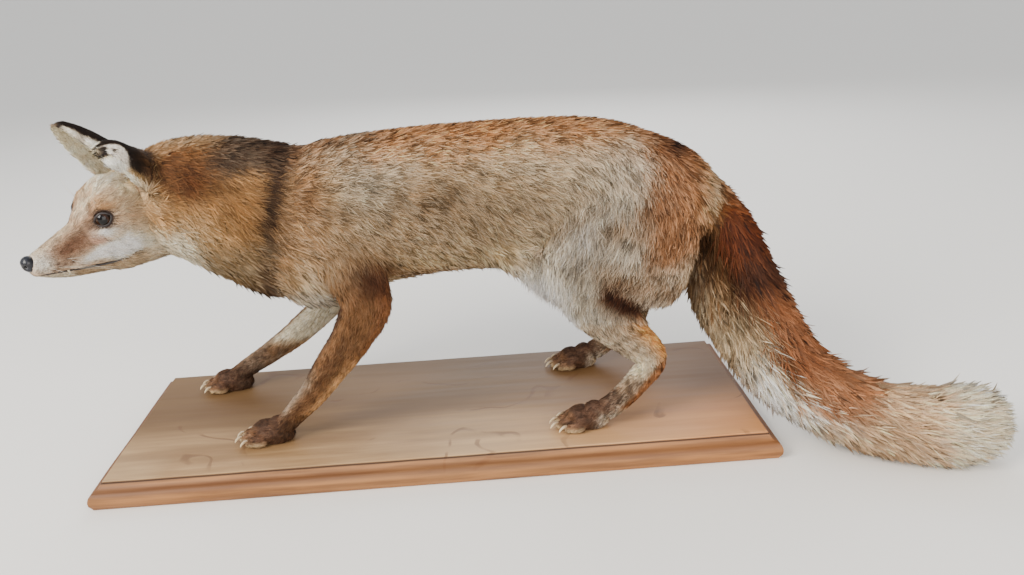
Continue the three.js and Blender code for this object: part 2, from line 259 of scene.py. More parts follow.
def value_node(tree, operation, first, second=None, third=None):
    """One sum of the shader network, from links or plain numbers."""
    node = tree.nodes.new("ShaderNodeMath")
    node.operation = operation
    for socket, given in zip(node.inputs, (first, second, third)):
        if isinstance(given, (int, float)):
            socket.default_value = given
        elif given is not None:
            tree.links.new(given, socket)
    return node.outputs[0]


def colour_node(tree, factor, first, second, blend="MIX"):
    """A mix of two colours, each a link or a linear colour, by a link or a number."""
    node = tree.nodes.new("ShaderNodeMix")
    node.data_type = "RGBA"
    node.blend_type = blend
    node.clamp_factor = True
    for socket, given in ((node.inputs[0], factor), (node.inputs[6], first), (node.inputs[7], second)):
        if isinstance(given, (int, float)):
            socket.default_value = given
        elif isinstance(given, bpy.types.NodeSocket):
            tree.links.new(given, socket)
        else:
            socket.default_value = (*given, 1.0)
    return node.outputs[2]


cloudy_grain = bpy.data.node_groups.new("cloudy_grain", "ShaderNodeTree")
for label, socket_kind in (
    ("Place", "NodeSocketVector"), ("Stretch", "NodeSocketVector"), ("Scale", "NodeSocketFloat"),
    ("Detail", "NodeSocketFloat"), ("Roughness", "NodeSocketFloat"),
):
    cloudy_grain.interface.new_socket(label, in_out="INPUT", socket_type=socket_kind)
cloudy_grain.interface.new_socket("Grain", in_out="OUTPUT", socket_type="NodeSocketFloat")
grain_in = cloudy_grain.nodes.new("NodeGroupInput")
grain_stretch = cloudy_grain.nodes.new("ShaderNodeVectorMath")
grain_stretch.operation = "MULTIPLY"
grain_noise = cloudy_grain.nodes.new("ShaderNodeTexNoise")
grain_out = cloudy_grain.nodes.new("NodeGroupOutput")
cloudy_grain.links.new(grain_in.outputs["Place"], grain_stretch.inputs[0])
cloudy_grain.links.new(grain_in.outputs["Stretch"], grain_stretch.inputs[1])
cloudy_grain.links.new(grain_stretch.outputs["Vector"], grain_noise.inputs["Vector"])
for label in ("Scale", "Detail", "Roughness"):
    cloudy_grain.links.new(grain_in.outputs[label], grain_noise.inputs[label])
cloudy_grain.links.new(grain_noise.outputs["Fac"], grain_out.inputs["Grain"])


def noise_node(tree, place, scale, detail=3.0, roughness=0.55, stretch=(1, 1, 1)):
    """The shared grain of wood, horn, skin and hair: cloudy noise on the object's own coordinates,
    each axis multiplied by its stretch."""
    node = tree.nodes.new("ShaderNodeGroup")
    node.node_tree = cloudy_grain
    node.inputs["Stretch"].default_value = stretch
    node.inputs["Scale"].default_value = scale
    node.inputs["Detail"].default_value = detail
    node.inputs["Roughness"].default_value = roughness
    tree.links.new(place, node.inputs["Place"])
    return node.outputs["Grain"]


def ramp_node(tree, factor, low, high):
    """0 below low, 1 above high, and a smooth S between."""
    node = tree.nodes.new("ShaderNodeMapRange")
    node.inputs["From Min"].default_value = low
    node.inputs["From Max"].default_value = high
    node.interpolation_type = "SMOOTHSTEP"
    tree.links.new(factor, node.inputs["Value"])
    return node.outputs[0]


def between_node(tree, height, rise, fall):
    """1 between two heights with a soft step at each: a ramp up times one minus another."""
    above = ramp_node(tree, height, *rise)
    below = value_node(tree, "SUBTRACT", 1.0, ramp_node(tree, height, *fall))
    return value_node(tree, "MULTIPLY", above, below)


def place_node(tree):
    """The place on the piece, in metres from the middle of the base's underside."""
    return tree.nodes.new("ShaderNodeTexCoord").outputs["Object"]


def relief_node(tree, shader, height, strength, deep):
    """Fine relief, deep metres at most, that bends the normals of a shader."""
    node = tree.nodes.new("ShaderNodeBump")
    node.inputs["Strength"].default_value = strength
    node.inputs["Distance"].default_value = deep
    tree.links.new(height, node.inputs["Height"])
    tree.links.new(node.outputs[0], shader.inputs["Normal"])


place = place_node(tree)
split = tree.nodes.new("ShaderNodeSeparateXYZ")
tree.links.new(place, split.inputs[0])
figure = noise_node(tree, place, 9.0, 4.0, 0.6, (0.35, 3.2, 3.2))
fibre = noise_node(tree, place, 140.0, 3.0, 0.6, (0.06, 1.0, 1.0))
cloud = noise_node(tree, place, 7.0, 3.0, 0.5)
# long dark scratches curl where the warped rings of a wave cross a high line
warp = tree.nodes.new("ShaderNodeTexWave")
warp.wave_type = "RINGS"
warp.inputs["Scale"].default_value = 3.4
warp.inputs["Distortion"].default_value = 14.0
warp.inputs["Detail"].default_value = 2.0
warp.inputs["Detail Scale"].default_value = 2.6
tree.links.new(place, warp.inputs["Vector"])
scratch_line = ramp_node(tree, warp.outputs["Fac"], 0.975, 0.998)
patchy = ramp_node(tree, noise_node(tree, place, 22.0, 2.0), 0.52, 0.62)
scratch = value_node(tree, "MULTIPLY", scratch_line, patchy)
growth = ramp_node(tree, figure, 0.35, 0.68)
tan_wood = colour_node(tree, growth, linear(134, 104, 70), linear(182, 148, 106))
pores = colour_node(tree, 0.72, linear(122, 86, 52), tan_wood)
tan_wood = colour_node(tree, ramp_node(tree, fibre, 0.36, 0.66), pores, tan_wood)
bleached = colour_node(tree, 0.18, tan_wood, linear(206, 180, 142))
tan_wood = colour_node(tree, ramp_node(tree, cloud, 0.42, 0.66), tan_wood, bleached)
# the tail end of the plank is more orange
tail_end = value_node(tree, "MULTIPLY", ramp_node(tree, split.outputs["X"], 0.02, 0.30), 0.5)
tan_wood = colour_node(tree, tail_end, tan_wood, linear(196, 116, 52))
# the rear half is darker and browner: partly a browner tone of the old wood, partly painted shade where
# the fox's shadow falls
rear_tone_and_shade = value_node(tree, "MULTIPLY", ramp_node(tree, split.outputs["Y"], -0.09, 0.02), 0.84)
tan_wood = colour_node(tree, rear_tone_and_shade, tan_wood, linear(88, 62, 34))
scratch_dirt = value_node(tree, "MULTIPLY", scratch, 0.55)
worn = colour_node(tree, scratch_dirt, tan_wood, linear(92, 60, 38))
# painted shade in the groove and in the hollow of the moulding, and an older brown polish on the
# moulding below the groove
height = split.outputs["Z"]
moulded = value_node(tree, "SUBTRACT", 1.0, ramp_node(tree, height, 0.0205, 0.0232))
moulded = value_node(tree, "MULTIPLY", moulded, 0.92)
polish = colour_node(tree, ramp_node(tree, fibre, 0.3, 0.7), linear(104, 64, 32), linear(152, 102, 58))
# painted shade in the concave hollow of the moulding
hollow = between_node(tree, height, (0.011, 0.0145), (0.0165, 0.0195))
hollow = value_node(tree, "MULTIPLY", hollow, 0.6)
polish = colour_node(tree, hollow, polish, linear(80, 42, 18))
aged = colour_node(tree, moulded, worn, polish)
# painted shade in the groove
groove = between_node(tree, height, (0.0208, 0.0218), (0.0222, 0.0236))
groove = value_node(tree, "MULTIPLY", groove, 0.9)
aged = colour_node(tree, groove, aged, linear(58, 36, 24))
tree.links.new(aged, shader.inputs["Base Color"])
rough = value_node(tree, "MULTIPLY_ADD", fibre, 0.25, 0.42)
tree.links.new(rough, shader.inputs["Roughness"])
shader.inputs["Specular IOR Level"].default_value = 0.35
raised = value_node(tree, "MULTIPLY", fibre, 0.6)
cut = value_node(tree, "MULTIPLY", scratch, 0.8)
relief_node(tree, shader, value_node(tree, "SUBTRACT", raised, cut), 0.35, 0.0004)

board = mesh_piece("wooden_base", board_points, board_faces, wood)
board.data.set_sharp_from_angle(angle=0.6)
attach(board, "root")
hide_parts("base_board")

# ======================================================================================
# The tanned skin on its mannikin: one skin from nose to tail tip, drawn over a carved
# form, with the eye sockets, lids, lips, ears and toes modelled under it. It lies inside
# the outline of the coat by the depth of the hair.
# ======================================================================================


def unit(v):
    """Vectors over their own lengths."""
    return v / np.maximum(np.linalg.norm(v, axis=-1, keepdims=True), 1e-9)


def ease(low, high, x):
    """0 below low and 1 above high, with a smooth S between: 3t^2 - 2t^3."""
    t = np.clip((x - low) / (high - low), 0.0, 1.0)
    return t * t * (3.0 - 2.0 * t)


def turned(axis, degrees):
    """The right-handed turn about one of the axes x, y, z."""
    c, s = np.cos(np.radians(degrees)), np.sin(np.radians(degrees))
    if axis == "x":
        return np.array([[1, 0, 0], [0, c, -s], [0, s, c]])
    if axis == "y":
        return np.array([[c, 0, s], [0, 1, 0], [-s, 0, c]])
    return np.array([[c, -s, 0], [s, c, 0], [0, 0, 1]])


# the head's own frame: +X to the nose, +Y to the fox's left, nape at the origin
HEAD_AT = np.array([-262.0, 15.0, 252.0])
HEAD_SIZE = 0.9
HEAD_TURN = turned("z", 180 + 47) @ turned("y", 13) @ turned("x", -5)


def from_head(p):
    """Head frame to the mount's frame."""
    return np.asarray(p) @ (HEAD_TURN.T * HEAD_SIZE) + HEAD_AT


def to_head(p):
    """The mount's frame to the head frame."""
    return (np.asarray(p) - HEAD_AT) @ HEAD_TURN / HEAD_SIZE


# stations along each part: x, y, z, half width, height above and below (legs: behind and in front)
TRUNK = np.array([
    [272, 0, 226, 30, 22, 26], [247, 0, 224, 49, 46, 42], [212, 0, 224, 59, 62, 58],
    [170, 0, 226, 62, 74, 66], [125, 0, 232, 61, 74, 66], [75, 0, 236, 60, 69, 68],
    [25, 0, 237, 62, 67, 67], [-25, 0, 235, 63, 68, 70], [-72, 0, 226, 63, 72, 72],
    [-112, 0, 217, 57, 72, 78], [-158, 0, 228, 38, 46, 61],
], float)
NECK = np.array([
    [-92, 0, 218, 50, 68, 62], [-122, 0, 222, 54, 68, 67], [-152, -1, 230, 56, 70, 68],
    [-184, 0, 240, 56, 67, 61], [-214, 4, 246, 50, 62, 57], [-240, 12, 246, 40, 54, 54],
    [-262, 20, 242, 27, 40, 44],
], float)
SKULL = np.array([
    [-34, 0, -16, 40, 48, 52], [-8, 0, -14, 46, 53, 57], [16, 0, -14, 48, 50, 54],
    [36, 0, -13, 43, 49, 50], [50, 0, -13, 36, 39, 48], [62, 0, -14, 28, 29, 44],
    [74, 0, -16, 21, 22.5, 38], [90, 0, -18, 17.5, 21, 29], [108, 0, -18, 14.5, 17, 20],
    [121, 0, -17, 12, 13, 12.5], [129, 0, -16, 8.5, 9, 8],
], float)
TAIL = np.array([
    [238, 0, 240, 20, 20, 20], [262, -2, 222, 28, 28, 28], [274, -10, 184, 36, 38, 35],
    [288, -24, 134, 41, 46, 39], [314, -48, 84, 40, 43, 34], [342, -76, 54, 36, 37, 29],
    [378, -104, 40, 33, 33, 31], [416, -124, 35, 32, 32, 32], [444, -134, 36, 31, 32, 32],
    [472, -140, 38, 25, 27, 25],
], float)
LEFT_FORE = np.array([
    [-92, -36, 222, 20, 34, 30], [-70, -49, 188, 21, 34, 27], [-58, -57, 160, 19, 27, 25],
    [-73, -58, 127, 16, 21, 20], [-95, -58, 98, 14, 17.5, 17], [-115, -57, 72, 12, 14, 13.5],
    [-134, -55, 52, 11, 11.5, 11.5], [-147, -54, 38, 12, 10, 11],
], float)
LEFT_HIND = np.array([
    [192, -28, 256, 28, 50, 58], [188, -44, 220, 31, 66, 67], [172, -53, 180, 30, 71, 76],
    [162, -58, 152, 23, 54, 54], [163, -60, 132, 18, 31, 32], [180, -62, 110, 15.5, 22, 21],
    [200, -66, 88, 12.5, 16, 16], [187, -69, 67, 11.5, 13, 13], [168, -70, 48, 11.5, 12, 12],
    [154, -70, 38, 13, 11, 12],
], float)
RIGHT_FORE = np.array([
    [-92, 36, 222, 20, 34, 30], [-84, 49, 182, 21, 34, 28], [-92, 58, 146, 19, 23, 22],
    [-116, 63, 114, 15, 17.5, 17], [-146, 65, 87, 13, 15, 15], [-176, 67, 66, 11.5, 12.5, 12.5],
    [-202, 68, 50, 11, 11, 11], [-218, 69, 39, 12, 10, 11],
], float)
RIGHT_HIND = np.array([
    [194, 28, 256, 28, 50, 58], [192, 44, 220, 31, 64, 72], [182, 53, 178, 30, 62, 68],
    [178, 57, 150, 23, 44, 48], [184, 60, 130, 18, 28, 30], [200, 63, 106, 15, 20, 20],
    [212, 65, 84, 12.5, 15, 15], [197, 66, 64, 11.5, 12, 12], [177, 66, 47, 11.5, 11.5, 11.5],
    [163, 66, 38, 13, 11, 12],
], float)
# where each foot stands, toes toward -X
PAWS = {
    "forepaw_left": (-166.0, -53.0), "forepaw_right": (-232.0, 69.0),
    "hindpaw_left": (131.0, -70.0), "hindpaw_right": (140.0, 65.0),
}
TOES = ((-13.5, -7.0), (-4.8, -14.0), (4.8, -14.0), (13.5, -7.0))
# ears: forward, out to the side and up on the skull, length, then lean, splay and face in degrees
EAR_WIDTH = 27.0
EARS = {"left": (0, 29, 16, 82, 33, 12, -18), "right": (6, 27, 22, 76, 27, 8, -12)}
EAR_OUTLINE = np.array([
    [0, -0.3], [0.75, -0.16], [1, 0.1], [0.94, 0.34], [0.8, 0.58], [0.6, 0.78], [0.36, 0.93], [0, 1],
])


def spline(stations, share):
    """The smooth line through the stations: between two of them a cubic whose slope at each
    is half the step between its neighbours."""
    last = len(stations) - 1
    line = np.vstack([2 * stations[0] - stations[1], stations, 2 * stations[-1] - stations[-2]])
    t = np.clip(share, 0.0, 1.0) * last
    i = np.minimum(t.astype(int), last - 1)
    f = (t - i)[..., None]
    a, b, c, d = line[i], line[i + 1], line[i + 2], line[i + 3]
    square, cube = 2 * a - 5 * b + 4 * c - d, 3 * b - a - 3 * c + d
    return 0.5 * (2 * b + (c - a) * f + square * f**2 + cube * f**3)


def path_frame(stations, share, side=None):
    """Centre, forward, side, up and the three radii at each share of the way. The side is level,
    or as near to the given one as it can be; up is square to forward and side."""
    s = spline(stations, share)
    ahead = spline(stations, np.minimum(share + 0.004, 1))[:, :3]
    behind = spline(stations, np.maximum(share - 0.004, 0))[:, :3]
    forward = unit(ahead - behind)
    if side is None:
        across = unit(np.cross([0.0, 0.0, 1.0], forward))
    else:
        across = unit(side - forward * (forward @ side)[:, None])
    return s[:, :3], forward, across, np.cross(forward, across), s[:, 3:]


def loft(stations, square, caps, rings, around, depth, side=None):
    """Rings along the smooth line. Each is a superellipse of power 2/square, less the depth of the
    coat, and shrinks at both ends as a rounded cap: the square root of 1 - (1 - share/cap)^2."""
    share = (1 - np.cos(np.pi * np.linspace(0, 1, rings))) / 2
    centre, _, across, up, radii = path_frame(stations, share, side)
    first = np.sqrt(np.maximum(1 - (1 - np.minimum(share / caps[0], 1)) ** 2, 0))
    final = np.sqrt(np.maximum(1 - (1 - np.minimum((1 - share) / caps[1], 1)) ** 2, 0))
    coat = np.interp(share, np.linspace(0, 1, len(depth)), depth)
    size = np.maximum(radii - coat[:, None], radii * 0.3) * (first * final)[:, None]
    angle = np.linspace(0, 2 * np.pi, around, endpoint=False)
    c, s = np.cos(angle), np.sin(angle)
    wide = np.sign(c) * np.abs(c) ** (2 / square)
    tall = np.sign(s) * np.abs(s) ** (2 / square)
    high = np.where(tall > 0, size[:, 1:2], size[:, 2:3]) * tall
    sideways = across[:, None] * (size[:, 0:1] * wide)[..., None]
    return centre[:, None] + sideways + up[:, None] * high[..., None]


def closed_tube(grid):
    """Points and triangles of a grid of rings, closed round and at both ends by a middle point."""
    rings, around = grid.shape[:2]
    points = np.vstack([grid.reshape(-1, 3), grid[0].mean(0), grid[-1].mean(0)])
    j = np.arange(around)
    k = (j + 1) % around
    low, high = np.full(around, rings * around), np.full(around, rings * around + 1)
    last = (rings - 1) * around
    return points, np.vstack([
        halved(ring_faces(rings, around)[:, ::-1]),
        np.column_stack([k, j, low]),
        np.column_stack([last + j, last + k, high]),
    ])


def joined_tubes(grids):
    """Points and triangles of several closed tubes, as one mesh."""
    all_points, all_faces, count = [], [], 0
    for grid in grids:
        points, faces = closed_tube(grid)
        all_points.append(points)
        all_faces.append(faces + count)
        count += len(points)
    return np.vstack(all_points), np.vstack(all_faces)


def ellipsoid(centre, radii):
    """Rings of a ball stretched to three radii."""
    v = np.linspace(0, np.pi, 20)[:, None]
    u = np.linspace(0, 2 * np.pi, 28, endpoint=False)[None]
    ball = np.stack([np.sin(v) * np.cos(u), np.sin(v) * np.sin(u), np.cos(v) * np.ones_like(u)], -1)
    return np.asarray(centre) + ball * np.asarray(radii)


# the eye: a ball in its socket, and the almond opening between the lids. LONG runs from the
# outer corner to the inner one, TALL up the face, OUT away from the head.
EYE_AT = np.array([53.0, 21.7, 5.6])
EYE_BALL = 9.0
EYE_LONG = unit(np.array([19.0, -10.0, -6.0]))
EYE_TALL = np.array([0.16, -0.28, 0.95])
EYE_TALL = unit(EYE_TALL - EYE_LONG * (EYE_TALL @ EYE_LONG))
EYE_OUT = np.cross(EYE_TALL, EYE_LONG)
EYE_OUT = EYE_OUT * np.sign(EYE_OUT[1])
# half lengths of the opening: to its inner and outer corner, and up and down
LID_LONG = (10.2, 8.6)
LID_TALL = (7.0, 6.4)


def eye_share(h):
    """1 on the edge of the lids' opening, less inside, more outside, in the head frame with both
    sides folded onto the left: the square of the long share plus the 1.4th power of the tall one."""
    q = np.stack([h[..., 0], np.abs(h[..., 1]), h[..., 2]], -1) - EYE_AT
    along, tall, out = q @ EYE_LONG, q @ EYE_TALL, q @ EYE_OUT
    a = along / np.where(along > 0, LID_LONG[0], LID_LONG[1])
    b = tall / np.where(tall > 0, LID_TALL[0], LID_TALL[1])
    share = np.abs(a) ** 2 + np.abs(b) ** 1.4
    return np.where(out > -2.0, share, 9.0)


# the line of the lips in the head frame, from the front of the mouth to its corner
LIP_X = np.array([39.0, 44.0, 50.0, 58.0, 69.0, 87.0, 104.0, 116.0, 123.0])
LIP_Z = np.array([-30.5, -34.0, -38.0, -40.5, -40.0, -35.0, -29.5, -26.0, -25.0])


def lip_gap(h):
    """Height above the line of the lips, and how far a place is within the mouth's length, 0 to 1."""
    gap = h[..., 2] - np.interp(h[..., 0], LIP_X, LIP_Z)
    return gap, ease(37.0, 43.0, h[..., 0]) * (1 - ease(121.0, 126.0, h[..., 0]))


def bump(h, at, reach):
    """A smooth hill: e to the minus square of the distance, each axis over its reach, on both sides."""
    q = np.stack([h[..., 0], np.abs(h[..., 1]), h[..., 2]], -1)
    return np.exp(-(((q - np.array(at)) / np.array(reach)) ** 2).sum(-1))


SKULL_COAT = (5.5, 5.0, 3.8, 2.6, 1.9, 1.5, 1.3, 1.2, 1.0)


def head_skin():
    """The skull's loft moved in and out along its own normal by the folds of the face, then drawn
    round the eye balls to make the lids, and sunk behind them in the openings."""
    grid = loft(SKULL, 2.2, (0.08, 0.04), 240, 260, SKULL_COAT, np.array([0.0, 1.0, 0.0]))
    down = np.roll(grid, -1, 1) - np.roll(grid, 1, 1)
    along = np.gradient(grid, axis=0)
    normal = unit(np.cross(down, along))
    normal *= np.sign((normal * (grid - grid.mean(1, keepdims=True))).sum(-1, keepdims=True))
    x, z = grid[..., 0], grid[..., 2]
    gap, inside = lip_gap(grid)
    move = 2.9 * bump(grid, (50, 19, 18), (12, 8, 6))            # brow above the eye
    move += 1.5 * bump(grid, (60, 26, -9), (12, 9, 5))           # cheek bone below it
    move -= 2.2 * bump(grid, (72, 17, -2), (9, 7, 7))            # hollow before the eye
    move -= 1.3 * bump(grid, (56, 0, 24), (14, 5, 12))           # furrow of the forehead
    move += 1.4 * bump(grid, (112, 11, -20), (11, 8, 6))         # whisker pad
    move += 1.0 * bump(grid, (90, 13, -29), (16, 8, 4))          # hanging upper lip
    move += 1.8 * bump(grid, (40, 40, -22), (13, 12, 9))         # muscle of the cheek
    move -= 1.7 * np.exp(-(gap / 1.3) ** 2) * inside             # the lips meet in a groove
    move -= 0.9 * np.exp(-(grid[..., 1] / 0.9) ** 2) * ease(118, 124, x) * (z < -18)   # philtrum
    grid = grid + normal * move[..., None]
    for hand in (1.0, -1.0):
        centre = EYE_AT * [1, hand, 1]
        q = grid - centre
        far = np.linalg.norm(q, axis=-1)
        share = np.where(grid[..., 1] * hand > 0, eye_share(grid), 9.0)
        lid = far + (EYE_BALL + 1.25 - far) * (1 - ease(1.0, 2.7, share))
        reach = np.where(share < 1.0, EYE_BALL - 1.6, lid)
        near = share < 2.7
        grid = np.where(near[..., None], centre + q / far[..., None] * reach[..., None], grid)
    return from_head(grid)


def ear_frame(side):
    """The turn, place and length of an ear: its +Z runs to the tip, and its open side faces +X."""
    forward, out, up, length, lean, splay, face = EARS[side]
    hand = 1.0 if side == "left" else -1.0
    turn = turned("y", lean) @ turned("x", -hand * splay) @ turned("z", hand * face)
    return turn, np.array([forward, hand * out, up], float), float(length)


def from_ear(side, p):
    """Ear frame to the mount's frame."""
    turn, at, _ = ear_frame(side)
    return from_head(np.asarray(p) @ turn.T + at)


def to_ear(side, p):
    """The mount's frame to the ear frame."""
    turn, at, _ = ear_frame(side)
    return (to_head(p) - at) @ turn


def ear_radius(share):
    """Half width of the ear at a share of its length, on a smooth line through its outline."""
    t = np.linspace(0, 1, 200)
    line = spline(EAR_OUTLINE, t)
    return np.interp(share, np.maximum.accumulate(line[:, 1]), np.maximum(line[:, 0], 0)) * EAR_WIDTH


EAR_WALL = 2.7
EAR_SHRINK = (0.97, 0.97, 0.985)


def ear_skin(side):
    """A scoop: each cross-section goes round the back of the ear from edge to edge and returns
    inside it, one wall thickness nearer to the axis. Its edges wave as dried skin does."""
    length = ear_frame(side)[2]
    near_tip = 1 - 0.1 * (1 - np.linspace(0, 1, 15)[1:]) ** 2
    share = np.concatenate([np.linspace(-0.25, 0.9, 54), near_tip])
    radius = np.maximum(ear_radius(share), 1.7)[:, None]
    if side == "left":
        radius = radius * (1 + 0.35 * ease(0.6, 0.9, share)[:, None])
    swing = np.radians(np.linspace(-99, 99, 46))[None]
    wave = 1 + 0.05 * np.sin(share[:, None] * 21 + swing * 2) * np.sin(swing) ** 2
    high = share[:, None] * length * np.ones_like(swing)
    outer = np.stack([-0.9 * radius * np.cos(swing), radius * wave * np.sin(swing), high], -1)
    inside = np.maximum(radius - EAR_WALL, radius * 0.22)
    inner = np.stack([-0.9 * inside * np.cos(swing) + 0.5, inside * wave * np.sin(swing), high], -1)
    grid = np.concatenate([outer * EAR_SHRINK, inner[:, ::-1] * EAR_SHRINK], 1)
    # the tip of the left ear has dried with a curl over its open side
    if side == "left":
        curl = ease(0.62, 1.0, share)[:, None]
        grid[..., 0] += curl * 6.0
        grid[..., 2] -= curl**2 * 5.0
    return from_ear(side, grid)


def paw_skin(at):
    """Palm, heel and four toes as overlapping balls, toes longest in the middle, each with a
    knuckle behind its tip."""
    x, y = at
    floor_z = BOARD_TOP + 0.4
    shapes = [
        ellipsoid((x + 10, y, floor_z + 8), (18, 12.0, 12)),
        ellipsoid((x + 16, y, floor_z + 13), (12, 10.5, 11)),
        ellipsoid((x + 2, y, floor_z + 11.5), (13, 11.5, 8.5)),
    ]
    for off, tip in TOES:
        shapes.append(ellipsoid((x + tip + 3, y + off * 0.98, floor_z + 5.6), (8.8, 3.8, 5.5)))
        shapes.append(ellipsoid((x + tip + 10, y + off * 0.82, floor_z + 10.2), (8.6, 4.1, 5.6)))
        shapes.append(ellipsoid((x + tip - 2.5, y + off, floor_z + 4.6), (4.8, 3.2, 4.0)))
    return shapes


LEG_COAT = (6, 6, 5, 3.6, 2.8, 2.2, 2.0, 2.0)
HIND_COAT = (6.5, 6.5, 6, 5, 3.6, 2.8, 2.2, 2.0, 2.0)
LEVEL_SIDE = np.array([0.0, 1.0, 0.0])
# the fold of loose skin from the belly to the front of each knee
LEFT_FOLD = np.array([
    [50, -30, 203, 18, 14, 16], [80, -42, 190, 16, 20, 17], [106, -51, 175, 14, 22, 18],
    [130, -58, 158, 14, 22, 17], [150, -60, 144, 12, 16, 11],
], float)
RIGHT_FOLD = LEFT_FOLD * [1, -1, 1, 1, 1, 1]
RIGHT_FOLD[:, 0] += [0, 2, 5, 9, 12]
RIGHT_FOLD[:, 2] += [0, 2, 3, 4, 4]
shapes = [
    loft(TRUNK, 2.1, (0.07, 0.12), 110, 96, (5.0,)),
    loft(NECK, 2.0, (0.1, 0.16), 70, 90, (6, 6.5, 7, 7, 6, 5)),
    loft(TAIL, 2.0, (0.05, 0.06), 120, 48, (7, 10, 13, 16, 17, 16, 15, 14, 14, 10)),
    loft(LEFT_FORE, 2.0, (0.08, 0.04), 90, 48, LEG_COAT, LEVEL_SIDE),
    loft(RIGHT_FORE, 2.0, (0.08, 0.04), 90, 48, LEG_COAT, LEVEL_SIDE),
    loft(LEFT_HIND, 2.0, (0.08, 0.04), 90, 56, HIND_COAT, LEVEL_SIDE),
    loft(RIGHT_HIND, 2.0, (0.08, 0.04), 90, 56, HIND_COAT, LEVEL_SIDE),
    loft(LEFT_FOLD, 2.0, (0.1, 0.1), 40, 36, (4.0,)), loft(RIGHT_FOLD, 2.0, (0.1, 0.1), 40, 36, (4.0,)),
    head_skin(), ear_skin("left"), ear_skin("right"),
]
for at in PAWS.values():
    shapes += paw_skin(at)

skin_material, tree, shader = new_material("tanned_skin")
form = mesh_piece("mannikin_form", *joined_tubes(shapes), skin_material)

# the parts become one closed skin, the steps between them are rubbed down, and its flat places
# are left with fewer faces than its folds
melt = form.modifiers.new("one_skin", "REMESH")
melt.mode = "VOXEL"
melt.voxel_size = 1.15 * MM
rub = form.modifiers.new("rubbed_down", "SMOOTH")
rub.factor = 0.5
rub.iterations = 3
thin_out = form.modifiers.new("fewer_faces", "DECIMATE")
thin_out.ratio = 0.24
drawn = bpy.data.meshes.new_from_object(form.evaluated_get(bpy.context.evaluated_depsgraph_get()))
bpy.data.objects.remove(form)
skin_points = np.zeros(len(drawn.vertices) * 3, np.float32)
drawn.vertices.foreach_get("co", skin_points)
skin_points = skin_points.reshape(-1, 3).astype(float) / MM
drawn.calc_loop_triangles()
skin_faces = np.zeros(len(drawn.loop_triangles) * 3, np.int32)
drawn.loop_triangles.foreach_get("vertices", skin_faces)
skin_faces = skin_faces.reshape(-1, 3)
bpy.data.meshes.remove(drawn)


def relaxed(values, strength, rounds):
    """Values at the skin's points, each moved toward the mean of its neighbours by its strength,
    a number of times."""
    one = skin_faces[:, [0, 1, 1, 2, 2, 0]].ravel()
    other = skin_faces[:, [1, 0, 2, 1, 0, 2]].ravel()
    number = np.maximum(np.bincount(one, minlength=len(values)), 1)[:, None]
    for _ in range(rounds):
        sums = [np.bincount(one, column[other], len(values)) for column in values.T]
        values = values + (np.stack(sums, 1) / number - values) * strength
    return values

# ======================================================================================
# The glass eyes: dark brown taxidermist's eyes with an upright oval pupil under a clear
# bulged front, set behind the lids; and the dark rims of the lids round them.
# ======================================================================================
eye_glass, tree, shader = new_material("glass_eye")


def attribute_node(tree, name):
    """Values that a piece carries on its points."""
    node = tree.nodes.new("ShaderNodeAttribute")
    node.attribute_name = name
    return node


def point_values(piece, name, sort, field, values):
    """Values put on the points of a piece for its material to read."""
    store = piece.data.attributes.new(name, sort, "POINT")
    store.data.foreach_set(field, np.asarray(values, np.float32).ravel())


angle_off = attribute_node(tree, "gaze").outputs["Fac"]
fibres = noise_node(tree, place_node(tree), 900.0, 2.0)
iris = colour_node(tree, fibres, linear(26, 15, 9), linear(54, 32, 18))
iris = colour_node(tree, ramp_node(tree, angle_off, 0.52, 0.40), iris, linear(7, 5, 5))
iris = colour_node(tree, ramp_node(tree, angle_off, 0.62, 0.80), iris, linear(14, 9, 8))
tree.links.new(iris, shader.inputs["Base Color"])
shader.inputs["Roughness"].default_value = 0.3
shader.inputs["Specular IOR Level"].default_value = 0.0
shader.inputs["Coat Weight"].default_value = 1.0
shader.inputs["Coat IOR"].default_value = 1.34
shader.inputs["Coat Roughness"].default_value = 0.03


def eye_ball(hand):
    """A ball whose front bulges by a smooth hill, and each point's angle from the line of sight,
    with the upright direction counted for less so that the pupil is a tall oval."""
    v = np.linspace(0, np.pi, 51)[1:-1, None]
    u = np.linspace(0, 2 * np.pi, 64, endpoint=False)[None]
    out = unit(EYE_OUT + 0.12 * np.array([1.0, 0, 0]))
    tall = unit(EYE_TALL - out * (out @ EYE_TALL))
    wide = np.cross(tall, out)
    ball = (
        np.cos(v)[..., None] * out
        + (np.sin(v) * np.cos(u))[..., None] * wide
        + (np.sin(v) * np.sin(u))[..., None] * tall
    )
    off = v * np.sqrt(np.cos(u) ** 2 + 0.45 * np.sin(u) ** 2)
    grid = EYE_AT + ball * (EYE_BALL + 0.35 * np.exp(-(v / 0.55) ** 2))[..., None]
    return from_head(grid * [1, hand, 1]), (off * np.ones_like(u)).ravel()


# the right side of the head is the left one mirrored, so its faces turn the other way
SIDES = (("left", 1), ("right", -1))
for side, hand in SIDES:
    grid, off = eye_ball(hand)
    points, faces = closed_tube(grid)
    ball = mesh_piece("glass_eye_" + side, points, faces[:, ::-hand], eye_glass)
    point_values(ball, "gaze", "FLOAT", "value", np.append(off, [0.0, np.pi]))
    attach(ball, "root")
    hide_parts("eye_" + side)

lip_material, tree, shader = new_material("dark_lip_skin")
place = place_node(tree)
crease = noise_node(tree, place, 700.0, 3.0)
lip_colour = colour_node(tree, crease, linear(15, 12, 12), linear(40, 29, 27))
tree.links.new(lip_colour, shader.inputs["Base Color"])
tree.links.new(value_node(tree, "MULTIPLY_ADD", crease, 0.3, 0.34), shader.inputs["Roughness"])
relief_node(tree, shader, crease, 0.4, 0.0003)


